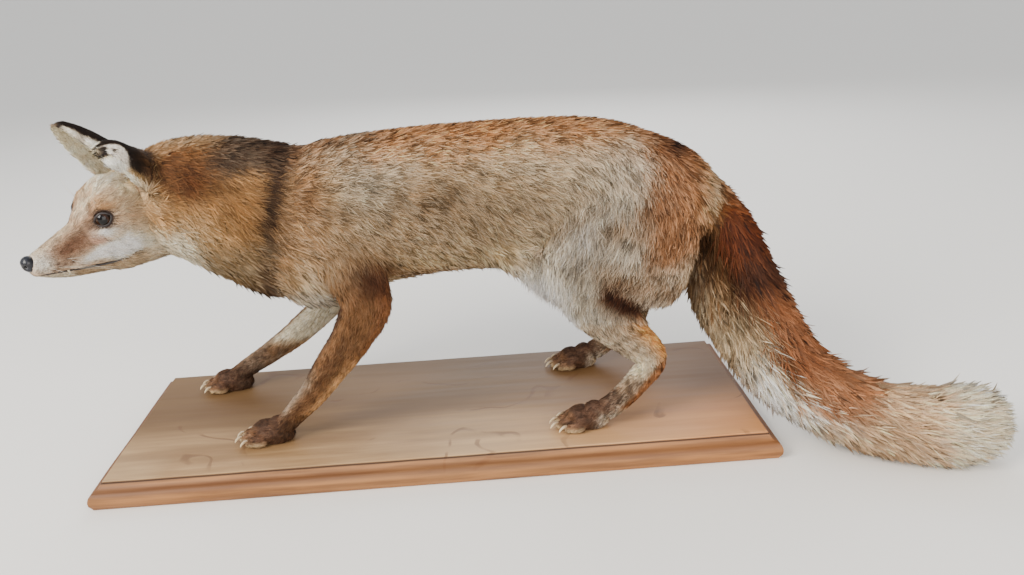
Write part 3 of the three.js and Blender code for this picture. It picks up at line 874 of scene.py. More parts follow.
def tube(path, radius, around, out, closed=False):
    """Rings square to a path, each of its own radius; out is the direction that angle 0 faces."""
    along = np.gradient(path, axis=0)
    if closed:
        along = np.roll(path, -1, 0) - np.roll(path, 1, 0)
    along = unit(along)
    first = unit(out - along * (out * along).sum(-1, keepdims=True))
    second = np.cross(along, first)
    a = np.linspace(0, 2 * np.pi, around, endpoint=False)
    ring = first[:, None] * np.cos(a)[None, :, None] + second[:, None] * np.sin(a)[None, :, None]
    return path[:, None] + ring * np.asarray(radius)[:, None, None]


def lid_rim(hand):
    """The edge of the opening, where the long share squared plus the tall one to the 1.4 is 1,
    laid on a ball a little larger than the eye, with a longer pointed inner corner."""
    t = np.linspace(0, 2 * np.pi, 97)[:-1]
    a = np.cos(t)
    b = np.sign(np.sin(t)) * (1 - a**2) ** (1 / 1.4)
    along = a * np.where(a > 0, LID_LONG[0], LID_LONG[1])
    tall = b * np.where(b > 0, LID_TALL[0], LID_TALL[1])
    along = along + 1.6 * np.clip(a - 0.93, 0, 1) / 0.07
    out = np.sqrt(np.maximum(9.9**2 - along**2 - tall**2, 6.0))
    path = EYE_AT + along[:, None] * EYE_LONG + tall[:, None] * EYE_TALL + out[:, None] * EYE_OUT
    path = path - 0.9 * unit(path - EYE_AT)
    radius = 0.95 + 0.3 * np.abs(np.sin(t)) * (b > 0) + 0.3 * (a > 0.9)
    grid = tube(path, radius, 10, path - EYE_AT, closed=True)
    return from_head(grid * [1, hand, 1])


def ring_tube_faces(rings, around):
    """Triangles of a tube whose last ring meets its first."""
    i, j = np.meshgrid(np.arange(rings), np.arange(around), indexing="ij")
    n, k = (i + 1) % rings, (j + 1) % around
    here, there = i * around, n * around
    return halved(np.stack([here + j, here + k, there + k, there + j], -1).reshape(-1, 4))


for side, hand in SIDES:
    grid = lid_rim(hand)
    faces = ring_tube_faces(*grid.shape[:2])[:, ::hand]
    rim = mesh_piece("lid_rim_" + side, grid.reshape(-1, 3), faces, lip_material)
    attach(rim, "root")

# ======================================================================================
# The nose pad: bare, blue-black leathery skin, painted and lacquered when it was mounted,
# with comma-shaped nostrils and a groove below them.
# ======================================================================================
NOSE_AT = np.array([127.0, 0.0, -12.0])
NOSE_RADII = np.array([6.6, 7.4, 8.2])

nose_material, tree, shader = new_material("nose_leather")
place = place_node(tree)
pebble = tree.nodes.new("ShaderNodeTexVoronoi")
pebble.inputs["Scale"].default_value = 900.0
tree.links.new(place, pebble.inputs["Vector"])
smear = noise_node(tree, place, 160.0, 3.0)
smear = ramp_node(tree, smear, 0.35, 0.7)
pad_colour = colour_node(tree, smear, linear(6, 6, 9), linear(24, 26, 36))
tree.links.new(pad_colour, shader.inputs["Base Color"])
shader.inputs["Roughness"].default_value = 0.34
shader.inputs["Specular IOR Level"].default_value = 0.3
shader.inputs["Coat Weight"].default_value = 0.25
shader.inputs["Coat Roughness"].default_value = 0.1
relief_node(tree, shader, pebble.outputs["Distance"], 0.5, 0.0003)


def nose_pad():
    """A ball stretched to the pad's radii and pressed in by smooth dents: a nostril at each side of
    the front, its slit running back and up, and the groove in the middle."""
    v = np.linspace(0, np.pi, 72)[1:-1, None]
    u = np.linspace(0, 2 * np.pi, 96, endpoint=False)[None]
    ball = np.stack([np.cos(v) * np.ones_like(u), np.sin(v) * np.cos(u), np.sin(v) * np.sin(u)], -1)
    side = np.stack([ball[..., 0], np.abs(ball[..., 1]), ball[..., 2]], -1)
    hole = ((side - unit(np.array([0.78, 0.55, -0.05]))) ** 2).sum(-1)
    slit = ((side - unit(np.array([0.45, 0.86, -0.30]))) ** 2 / [0.10, 0.10, 0.012]).sum(-1)
    size = 1 - 0.5 * np.exp(-hole / 0.05) - 0.28 * np.exp(-slit)
    size += 0.05 * np.exp(-((side[..., 2] - 0.45) / 0.3) ** 2)
    front_groove = np.exp(-(ball[..., 1] / 0.07) ** 2) * (ball[..., 0] > 0)
    size -= 0.10 * front_groove * ease(0.35, -0.1, ball[..., 2])
    return from_head(NOSE_AT + ball * size[..., None] * NOSE_RADII)


points, faces = closed_tube(nose_pad())
pad = mesh_piece("nose_pad_leather", points, faces[:, ::-1], nose_material)
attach(pad, "root")
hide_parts("nose_pad")

# ======================================================================================
# The lips: two dark bare edges that meet along the mouth, from under the nose back to the
# corner, and the tip of one canine that shows between them at each side.
# ======================================================================================
share = np.linspace(0, 1, 400)
skull_line, _, _, _, skull_radii = path_frame(SKULL, share, LEVEL_SIDE)
skull_coat = np.interp(share, np.linspace(0, 1, 9), SKULL_COAT)


def head_side(x, z):
    """Half width of the bare head at each x and height z: the superellipse of its ring there."""
    wide = np.interp(x, skull_line[:, 0], skull_radii[:, 0] - skull_coat)
    high = np.interp(x, skull_line[:, 0], skull_radii[:, 2] - skull_coat)
    rise = np.clip((np.interp(x, skull_line[:, 0], skull_line[:, 2]) - z) / high, 0, 0.999)
    return wide * (1 - rise**2.2) ** (1 / 2.2)


def lip_line(hand):
    """The line of the mouth on the side of the head, thickest in the middle."""
    x = np.linspace(124.0, 38.0, 90)
    z = np.interp(x, LIP_X, LIP_Z)
    smooth = np.convolve(np.pad(z, 4, mode="edge"), np.ones(9) / 9, mode="valid")
    y = head_side(x, smooth) - 0.5
    path = np.column_stack([x, y * hand, smooth])
    radius = 0.35 + 0.75 * np.sin(np.pi * np.linspace(0.04, 0.97, 90)) ** 0.5
    out = np.tile([0.0, hand, 0.0], (90, 1))
    return tube(from_head(path), radius * HEAD_SIZE, 10, out @ HEAD_TURN.T)


for side, hand in SIDES:
    points, faces = closed_tube(lip_line(hand))
    lip = mesh_piece("lips_" + side, points, faces, lip_material)
    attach(lip, "root")

TOOTH_AT = 101.0
tooth_material, tree, shader = new_material("old_ivory")
place = place_node(tree)
stain = noise_node(tree, place, 500.0, 2.0)
ivory = colour_node(tree, stain, linear(188, 168, 128), linear(232, 222, 196))
tree.links.new(ivory, shader.inputs["Base Color"])
shader.inputs["Roughness"].default_value = 0.3
for side, hand in SIDES:
    x, z = TOOTH_AT, np.interp(TOOTH_AT, LIP_X, LIP_Z)
    y = head_side(np.array([x]), np.array([z]))[0]
    t = np.linspace(0, 1, 14)
    path = np.column_stack([x - 1.2 * t, hand * (y - 0.2 - 1.0 * t), z + 1.0 - 4.6 * t])
    radius = 1.15 * np.sqrt(1 - t**1.6 * 0.96)
    grid = tube(from_head(path), radius, 10, np.tile(LEVEL_SIDE, (14, 1)))
    points, faces = closed_tube(grid)
    tooth = mesh_piece("canine_tip_" + side, points, faces, tooth_material)
    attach(tooth, "root")

# ======================================================================================
# The claws: curved horn, dark at the root and worn pale at the tip, four to a foot.
# ======================================================================================
claw_material, tree, shader = new_material("claw_horn")
worn_tip = ramp_node(tree, attribute_node(tree, "along").outputs["Fac"], 0.2, 0.7)
streak = noise_node(tree, place_node(tree), 420.0, 2.0, 0.5, (0.3, 1.0, 1.0))
root_colour = colour_node(tree, streak, linear(96, 74, 52), linear(150, 124, 92))
tip_colour = colour_node(tree, streak, linear(190, 168, 130), linear(222, 206, 174))
horn = colour_node(tree, worn_tip, root_colour, tip_colour)
tree.links.new(horn, shader.inputs["Base Color"])
shader.inputs["Roughness"].default_value = 0.34
CLAW_RINGS = 22
for paw, (x, y) in PAWS.items():
    grids = []
    for off, tip in TOES:
        stations = np.array([
            [x + tip - 5.5, y + off, BOARD_TOP + 8.0, 1.3, 1.8, 1.8],
            [x + tip - 9.2, y + off, BOARD_TOP + 7.4, 1.15, 1.5, 1.5],
            [x + tip - 12.2, y + off * 1.03, BOARD_TOP + 5.0, 0.8, 1.0, 1.0],
            [x + tip - 14.0, y + off * 1.05, BOARD_TOP + 2.2, 0.32, 0.36, 0.36],
        ])
        grids.append(loft(stations, 2.0, (0.1, 0.16), CLAW_RINGS + 2, 12, (0.0,), LEVEL_SIDE)[1:-1])
    claws = mesh_piece(paw + "_claws", *joined_tubes(grids), claw_material)
    along = np.append(np.repeat(np.linspace(0, 1, CLAW_RINGS), 12), [0.0, 1.0])
    point_values(claws, "along", "FLOAT", "value", np.tile(along, len(TOES)))
    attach(claws, "root")
    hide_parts(*[f"{paw}_claw_{number}" for number in (1, 2, 3, 4)])

# ======================================================================================
# The whiskers: a few stiff pale hairs left on each side of the muzzle and over the eyes.
# ======================================================================================
whisker_material, tree, shader = new_material("whisker_hair")
fade = noise_node(tree, place_node(tree), 60.0, 1.0)
hair_colour = colour_node(tree, fade, linear(150, 138, 120), linear(222, 214, 198))
tree.links.new(hair_colour, shader.inputs["Base Color"])
shader.inputs["Roughness"].default_value = 0.4
ON_LIP, ON_BROW = 5, 2
chance = np.random.default_rng(11)
grids = []
for _, hand in SIDES:
    for number in range(ON_LIP + ON_BROW):
        if number < ON_LIP:
            x = 117.0 - 5.0 * number - chance.uniform(0, 2)
            z = -17.5 - 2.6 * (number % 3)
            y = head_side(np.array([x]), np.array([z]))[0]
            length = chance.uniform(30, 52)
            out = np.array([chance.uniform(-1.0, -0.1), 0.75, chance.uniform(-0.5, 0.0)])
        else:
            x, y, z = 49.0 + number, 21.0, 22.0
            length = chance.uniform(20, 28)
            out = np.array([0.35, 0.5, 0.8])
        t = np.linspace(0, 1, 15)[:, None]
        sag = np.array([-0.28, 0.0, -0.10]) * length * t**2
        path = np.array([x, y - 0.8, z]) + unit(out) * length * t + sag
        radius = 0.13 * (1 - 0.6 * t[:, 0])
        upward = np.tile([0.0, 0.0, 1.0], (15, 1))
        grids.append(tube(from_head(path * [1, hand, 1]), radius, 4, upward))
whiskers = mesh_piece("whiskers", *joined_tubes(grids), whisker_material)
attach(whiskers, "root")

# ======================================================================================
# The markings: a faded red fox. Skin and hair take the same colours from here, worked out
# from the place on the body: rufous along the back and tail, grizzled buff flanks, white
# cheeks, belly and tail tip, dark feet and ear backs, and the darker seam round the neck.
# ======================================================================================
def ear_stations(side):
    """Stations up the axis of an ear, with its half width there."""
    length = ear_frame(side)[2]
    share = np.array([-0.12, 0.1, 0.35, 0.6, 0.8, 0.97])
    axis = from_ear(side, np.column_stack([np.zeros(6), np.zeros(6), share * length]))
    wide = np.maximum(ear_radius(share), 4.0) * HEAD_SIZE
    return np.column_stack([axis, wide, wide * 0.9, wide * 0.9])


def paw_stations(at):
    """Stations from the wrist over the foot to the toes."""
    x, y = at
    return np.array([
        [x + 25, y, 46, 11, 9, 10], [x + 14, y, 40, 12, 10, 11], [x + 2, y, 35, 14, 10, 10],
        [x - 10, y, 31, 16, 8, 8], [x - 21, y, 28, 17, 5, 5],
    ], float)


head_line = np.column_stack([from_head(SKULL[:, :3]), SKULL[:, 3:] * HEAD_SIZE])
head_across = HEAD_TURN @ LEVEL_SIDE
ear_across = {side: HEAD_TURN @ ear_frame(side)[0] @ LEVEL_SIDE for side in EARS}
# each part of the body: its stations, the side of its rings, and 1 if the hair lies along the
# stations or -1 if it lies against them
BODY = {
    "trunk": (TRUNK, None, -1.0), "neck": (NECK, None, -1.0), "head": (head_line, head_across, -1.0),
    "tail": (TAIL, None, 1.0),
    "foreleg_left": (LEFT_FORE, LEVEL_SIDE, 1.0), "foreleg_right": (RIGHT_FORE, LEVEL_SIDE, 1.0),
    "hindleg_left": (LEFT_HIND, LEVEL_SIDE, 1.0), "hindleg_right": (RIGHT_HIND, LEVEL_SIDE, 1.0),
    "ear_left": (ear_stations("left"), ear_across["left"], 1.0),
    "ear_right": (ear_stations("right"), ear_across["right"], 1.0),
}
for paw, at in PAWS.items():
    BODY[paw] = (paw_stations(at), LEVEL_SIDE, 1.0)
PART = {name: number for number, name in enumerate(BODY)}


def nearest_on_part(points, stations, side):
    """For each point, the ring of this part that it is nearest to when distance is counted in radii:
    that distance, the share along the part, the angle round it, and the way the part runs there."""
    share = np.linspace(0, 1, 48)
    centre, forward, across, up, radii = path_frame(stations, share, side)
    single = np.float32
    q = points[:, None, :].astype(single) - centre[None].astype(single)
    a = np.einsum("nmk,mk->nm", q, across.astype(single)) / radii[:, 0].astype(single)
    b = np.einsum("nmk,mk->nm", q, up.astype(single))
    b = b / np.where(b > 0, radii[:, 1], radii[:, 2])
    c = np.einsum("nmk,mk->nm", q, forward.astype(single)) / radii.mean(1).astype(single)
    far = a * a + b * b + 2.0 * c * c
    best = far.argmin(1)
    row = np.arange(len(points))
    return np.sqrt(far[row, best]), share[best], np.arctan2(b[row, best], a[row, best]), forward[best]


# how steeply one part of the coat gives way to the next
SHARPNESS = 9.0


def lie_of_the_coat(points):
    """How much each point belongs to each part, from how near it is counted in radii, with its
    share along and angle round every part, and the blended direction that the parts run in."""
    found = [nearest_on_part(points, stations, side) for stations, side, _ in BODY.values()]
    far = np.stack([f[0] for f in found], 1)
    weight = np.exp(-SHARPNESS * (far - far.min(1, keepdims=True)))
    weight /= weight.sum(1, keepdims=True)
    share = np.stack([f[1] for f in found], 1)
    angle = np.stack([f[2] for f in found], 1)
    run = sum(weight[:, i:i + 1] * found[i][3] * flow for i, (_, _, flow) in enumerate(BODY.values()))
    return weight, share, angle, run


def tuft_centres(points, cell):
    """Nearest point of a shaken cubic lattice to each point, and three even random numbers of its
    own: the tufts that hair gathers into are its cells."""
    base = np.floor(points / cell)
    best = np.full(len(points), np.inf)
    centre = np.zeros_like(points)
    luck = np.zeros_like(points)
    near = [-1, 0, 1]
    for step in np.stack(np.meshgrid(near, near, near), -1).reshape(-1, 3):
        corner = base + step
        key = corner @ np.array([[127.1, 269.5, 113.5], [311.7, 183.3, 271.9], [74.7, 246.1, 124.6]])
        own = np.modf(np.abs(np.sin(key) * 43758.5453))[0]
        spot_at = (corner + own) * cell
        far = ((points - spot_at) ** 2).sum(1)
        nearer = far < best
        best = np.where(nearer, far, best)
        centre[nearer] = spot_at[nearer]
        luck[nearer] = own[nearer][:, ::-1]
    return centre, luck


def mottle(points, size, seed=0.0):
    """Soft blotches from -1 to 1: sines of the place, bent by other sines."""
    p = points / size + seed
    bent = p + 0.8 * np.sin(1.7 * p[:, [1, 2, 0]] + seed) + 0.5 * np.sin(3.1 * p[:, [2, 0, 1]] - seed)
    return (np.sin(bent[:, 0]) + np.sin(1.3 * bent[:, 1]) + np.sin(0.9 * bent[:, 2])) / 3


def spot(p, at, reach):
    """A soft spot: e to the minus square of the distance, each axis over its reach."""
    return np.exp(-(((p - np.array(at, float)) / np.array(reach, float)) ** 2).sum(-1))


def side_spot(p, x, z, long, high):
    """A soft spot seen from the side, the same on both flanks: x and z over their own reaches."""
    return np.exp(-(((p[:, 0] - x) / long) ** 2 + ((p[:, 2] - z) / high) ** 2))


def lay(under, over, amount):
    """One colour over another by an amount for each point."""
    return under + (np.array(over, float) - under) * np.clip(amount, 0, 1)[:, None]


def trunk_colours(p, n):
    """Screen colours of the back, flanks, belly, shoulders and rump; both flanks alike."""
    x, z = p[:, 0], p[:, 2]
    wobble = 7 * mottle(p, 24.0)
    low_edge = z + wobble * 0.5
    c = np.tile(np.array([184.0, 160.0, 128.0]), (len(p), 1))
    # grey on the shoulder blade and over the hips, a brown cloud between them
    c = lay(c, (186, 176, 158), 0.9 * side_spot(p, -55, 264, 34, 20))
    c = lay(c, (188, 170, 144), 0.85 * side_spot(p, 130, 266, 66, 24))
    cloud = 0.7 + 0.35 * mottle(p, 12.0, 3.0)
    c = lay(c, (132, 104, 74), 0.7 * side_spot(p, 6, 254, 34, 24) * cloud)
    c = lay(c, (140, 98, 62), 0.9 * side_spot(p, -104, 258, 11, 24))
    # buff low on the flank, with a brown line over the belly
    c = lay(c, (194, 168, 128), 0.9 * ease(222, 196, z + wobble) * ease(60, 10, x))
    pale_flank = ease(230, 200, z + wobble) * ease(20, 70, x) * ease(150, 110, x)
    c = lay(c, (204, 184, 148), 0.8 * pale_flank)
    belly_line = ease(192, 178, low_edge) * ease(-50, -25, x) * ease(96, 60, x)
    c = lay(c, (112, 82, 54), 0.85 * belly_line)
    # the front of the shoulder, the grey chest and the white groin
    c = lay(c, (166, 134, 96), 0.75 * side_spot(p, -92, 226, 16, 60))
    c = lay(c, (196, 184, 158), 0.7 * side_spot(p, -100, 190, 34, 16))
    c = lay(c, (212, 210, 200), 0.95 * ease(184, 168, low_edge) * ease(-62, -84, x))
    c = lay(c, (252, 253, 250), 1.3 * side_spot(p, 90, 168, 28, 20) * ease(204, 182, z))
    # rufous saddle along the spine, widest over the rump, browner over the shoulders
    saddle_x = [-120, -60, 0, 100, 180, 240, 280]
    edge = np.interp(x, saddle_x, [0.90, 0.88, 0.84, 0.86, 0.80, 0.55, 0.30])
    saddle = ease(edge - 0.36, edge + 0.08, n[:, 2] + 0.12 * mottle(p, 13.0, 5.0))
    hue = lay(np.tile(np.array([172.0, 116.0, 70.0]), (len(p), 1)), (124, 92, 64), ease(-20, -80, x))
    hue = lay(hue, (150, 92, 52), ease(170, 240, x))
    c = c + (hue - c) * (0.9 * saddle)[:, None]
    # the hind end behind the haunch: rufous, with a paler buff patch next to the tail
    rear = ease(172, 214, x + wobble * 1.5 + (z - 240) * 0.22)
    c = lay(c, (136, 86, 48), 0.9 * rear)
    c = lay(c, (108, 60, 28), 0.7 * rear * side_spot(p, 196, 250, 20, 22))
    c = lay(c, (164, 130, 94), 0.7 * rear * ease(216, 186, z + wobble))
    c = lay(c, (196, 122, 60), 0.8 * side_spot(p, 228, 232, 17, 12))
    c = lay(c, (204, 172, 130), 0.95 * side_spot(p, 256, 240, 16, 26))
    c = seam_band(p, c, wobble)
    # a short dark line high on each side of the rump, in front of the tail
    return lay(c, (42, 20, 9), side_spot(p, 222, 275, 24, 6) * ease(0.99, 0.9, n[:, 2]))


# the middle line of the neck seam: x at each height
SEAM_Z = (170, 212, 247, 281, 296)
SEAM_X = (-168, -152, -141, -137, -146)


def seam_band(p, c, wobble):
    """The dark band of long hair where the head skin was sewn to the body: a bell curve across a
    line that leans forward as it goes down, ending in a dark tuft under the throat."""
    x, z = p[:, 0], p[:, 2]
    wide = np.interp(z, [180, 260, 300], [7.0, 7.5, 11.0])
    band = np.exp(-((x - np.interp(z, SEAM_Z, SEAM_X) + wobble * 0.3) / wide) ** 2)
    strength = np.interp(z, [170, 190, 214, 240, 300], [0.9, 0.66, 0.66, 0.88, 1.0])
    c = lay(c, (50, 34, 23), band * (strength * (0.9 + 0.35 * mottle(p, 8.0, 6.0))))
    return lay(c, (52, 36, 29), 0.95 * side_spot(p, -170, 176, 12, 10))


def neck_colours(p, n):
    """Screen colours of the ruff: grey-brown nape, orange sides, grey throat, and the dark band of
    long hair where the head skin was sewn to the body."""
    x, z = p[:, 0], p[:, 2]
    wobble = 6 * mottle(p, 20.0, 1.0)
    patchy = 0.9 + 0.4 * mottle(p, 7.0, 3.0)
    c = np.tile(np.array([152.0, 112.0, 66.0]), (len(p), 1))
    c = lay(c, (178, 150, 110), 0.8 * spot(p, (-206, -50, 232), (22, 60, 26)))
    # rust and dark brown behind the ears
    c = lay(c, (96, 66, 38), 0.9 * side_spot(p, -190, 290, 20, 12))
    c = lay(c, (68, 33, 10), 0.98 * side_spot(p, -207, 275, 18, 13) * patchy)
    c = lay(c, (94, 58, 28), 0.85 * side_spot(p, -217, 286, 20, 19) * patchy)
    # grey-brown below, paler at the throat
    c = lay(c, (112, 92, 64), 0.9 * ease(234, 208, z + wobble))
    c = lay(c, (204, 198, 178), 0.9 * ease(244, 222, z + wobble) * ease(-196, -222, x))
    # the dark nape, worn tan where it meets the head
    nape = ease(0.55, 0.85, n[:, 2] + 0.1 * mottle(p, 14.0, 2.0))
    c = lay(c, (68, 54, 44), 0.92 * nape * ease(-206, -176, x))
    crown = ease(0.82, 0.98, n[:, 2] + 0.06 * mottle(p, 9.0, 2.0))
    c = lay(c, (152, 124, 92), 0.8 * crown * ease(-182, -200, x))
    # shoulder fur behind the seam
    behind = ease(2, 18, x - np.interp(z, SEAM_Z, SEAM_X))
    c = lay(c, (152, 110, 70), behind * ease(300, 240, z))
    c = lay(c, (112, 78, 54), behind * ease(266, 292, z))
    return seam_band(p, c, wobble)


def head_colours(p):
    """Screen colours of the face, worked out in the head's own frame, both sides alike."""
    h = to_head(p)
    x, y, z = h[:, 0], np.abs(h[:, 1]), h[:, 2]
    q = np.column_stack([x, y, z])
    c = np.tile(np.array([204.0, 184.0, 158.0]), (len(p), 1))
    c = lay(c, (218, 208, 188), spot(q, (34, 0, 34), (28, 26, 20)))
    streaks = ease(0.05, 0.7, mottle(h * [0.4, 1.0, 1.0], 3.2, 1.5))
    c = lay(c, (164, 130, 98), 0.5 * streaks * ease(84, 60, x))
    c = lay(c, (176, 140, 100), 0.7 * ease(22, 0, x) * ease(0, 26, z))
    c = lay(c, (206, 194, 172), 0.9 * spot(q, (28, 48, 4), (24, 22, 17)))
    c = lay(c, (218, 212, 194), 0.95 * spot(q, (28, 48, -24), (26, 24, 13)))
    c = lay(c, (196, 166, 136), 0.8 * spot(q, (40, 38, 4), (14, 14, 9)))
    c = lay(c, (200, 146, 92), 0.75 * spot(q, (54, 24, 17), (10, 12, 6)))
    c = lay(c, (186, 158, 132), 0.9 * ease(66, 78, x))
    c = lay(c, (204, 184, 158), 0.8 * ease(10, 4, y) * ease(70, 84, x) * (z > -16))
    # brown patch from the inner corner of the eye down the side of the muzzle
    patch = 0.9 * spot(q, (79, 17, -3), (14, 9, 10)) + 0.9 * spot(q, (93, 15, -10), (12, 9, 8))
    patch += 0.8 * spot(q, (70, 17, 7), (7, 7, 5)) + 0.5 * spot(q, (64, 12, 16), (8, 4, 4))
    patch += 0.6 * spot(q, (104, 13, -10), (9, 8, 6))
    c = lay(c, (120, 88, 68), 0.92 * patch * ease(-30, -20, z))
    c = lay(c, (150, 98, 76), 0.7 * spot(q, (68, 25, -11), (12, 8, 6)))
    # white of the cheek and upper lip, and a greyish front of the muzzle
    gap, inside = lip_gap(h)
    white = 1.4 * spot(q, (60, 27, -25), (16, 14, 9)) + spot(q, (50, 34, -22), (12, 10, 8))
    white += 0.8 * spot(q, (78, 18, -27), (14, 9, 5))
    c = lay(c, (244, 248, 246), white * ease(-3, 2, gap))
    c = lay(c, (218, 216, 208), 0.95 * spot(q, (119, 9, -14), (10, 12, 12)))
    c = lay(c, (168, 146, 116), 0.85 * ease(2, -4, gap) * ease(30, 44, x))
    c = lay(c, (206, 200, 182), 0.85 * ease(2, -3, gap) * ease(88, 108, x))
    for at in ((108, 14, -19), (103, 15, -22), (99, 16, -18), (112, 13, -23), (96, 16, -23)):
        c = lay(c, (62, 44, 38), 0.75 * spot(q, at, (2.6, 6, 1.5)))
    rim = eye_share(h)
    c = lay(c, (244, 238, 232), 0.95 * spot(q, (61, 28, -5), (13, 12, 5)))
    c = lay(c, (44, 32, 28), ease(2.0, 1.15, rim))
    c = lay(c, (60, 40, 32), 0.8 * spot(q, (67, 21, 1), (5, 5, 3.5)))
    c = lay(c, (96, 64, 44), 0.7 * spot(q, (66, 17, 12), (9, 5, 4)))
    c = lay(c, (40, 28, 25), 0.9 * np.exp(-(gap / 1.0) ** 2) * inside)
    c = lay(c, (116, 70, 32), 0.9 * spot(q, (-12, 60, 42), (13, 24, 17)))
    return c


def ear_colours(side, p, n):
    """Screen colours of an ear: dark brown back, rufous at the root, cream inside and pale edges, with
    painted shade low inside the ear, more of it on the left ear.
    """
    e = to_ear(side, p)
    length = ear_frame(side)[2]
    up = e[:, 2] / length
    radius = np.maximum(ear_radius(np.clip(up, 0, 1)), 3)
    turn = HEAD_TURN @ ear_frame(side)[0]
    local = n @ turn
    radial = local[:, 0] * e[:, 0] / 0.81 + local[:, 1] * e[:, 1]
    back = ease(-2.0, 2.0, radial)
    c = np.tile(np.array([226.0, 214.0, 184.0]), (len(p), 1))
    # painted shade low inside each ear, and more of it low inside the left ear
    c = lay(c, (184, 160, 118), 0.7 * ease(0.6, 0.1, up) * ease(0.8, 0.3, np.abs(e[:, 1]) / radius))
    c = lay(c, (168, 142, 98), 0.8 * ease(0.82, 0.56, up) * (side == "left"))
    c = lay(c, (20, 11, 6), 0.98 * back)
    c = lay(c, (126, 76, 38), back * ease(0.34, 0.10, up + 0.08 * mottle(p, 9.0)))
    h = to_head(p)
    c = lay(c, (206, 190, 160), ease(12, 19, h[:, 0]) * ease(0.42, 0.2, up))
    edge = ease(0.80, 0.96, np.abs(e[:, 1]) / radius) * ease(-0.36, -0.16, e[:, 0] / radius)
    # on the left ear the lower edge is tan: painted shade along the fold inside the rim
    if side == "left":
        c = lay(c, (170, 142, 98), 0.95 * edge)
        edge *= np.maximum(ease(0.60, 0.74, up), ease(-0.12, 0.0, e[:, 0] / radius))
    c = lay(c, (240, 232, 212), 0.95 * edge)
    if side == "left":
        slant = up + 0.2 * e[:, 1] / radius + 0.05 * mottle(p, 6.0)
        worn = ease(0.79, 0.86, slant) * ease(0.42, 0.12, mottle(p, 3.4, 3.0))
        c = lay(c, (236, 228, 216), 0.95 * worn)
    return lay(c, (150, 128, 104), 0.8 * ease(0.92, 0.98, up) * (side == "right"))


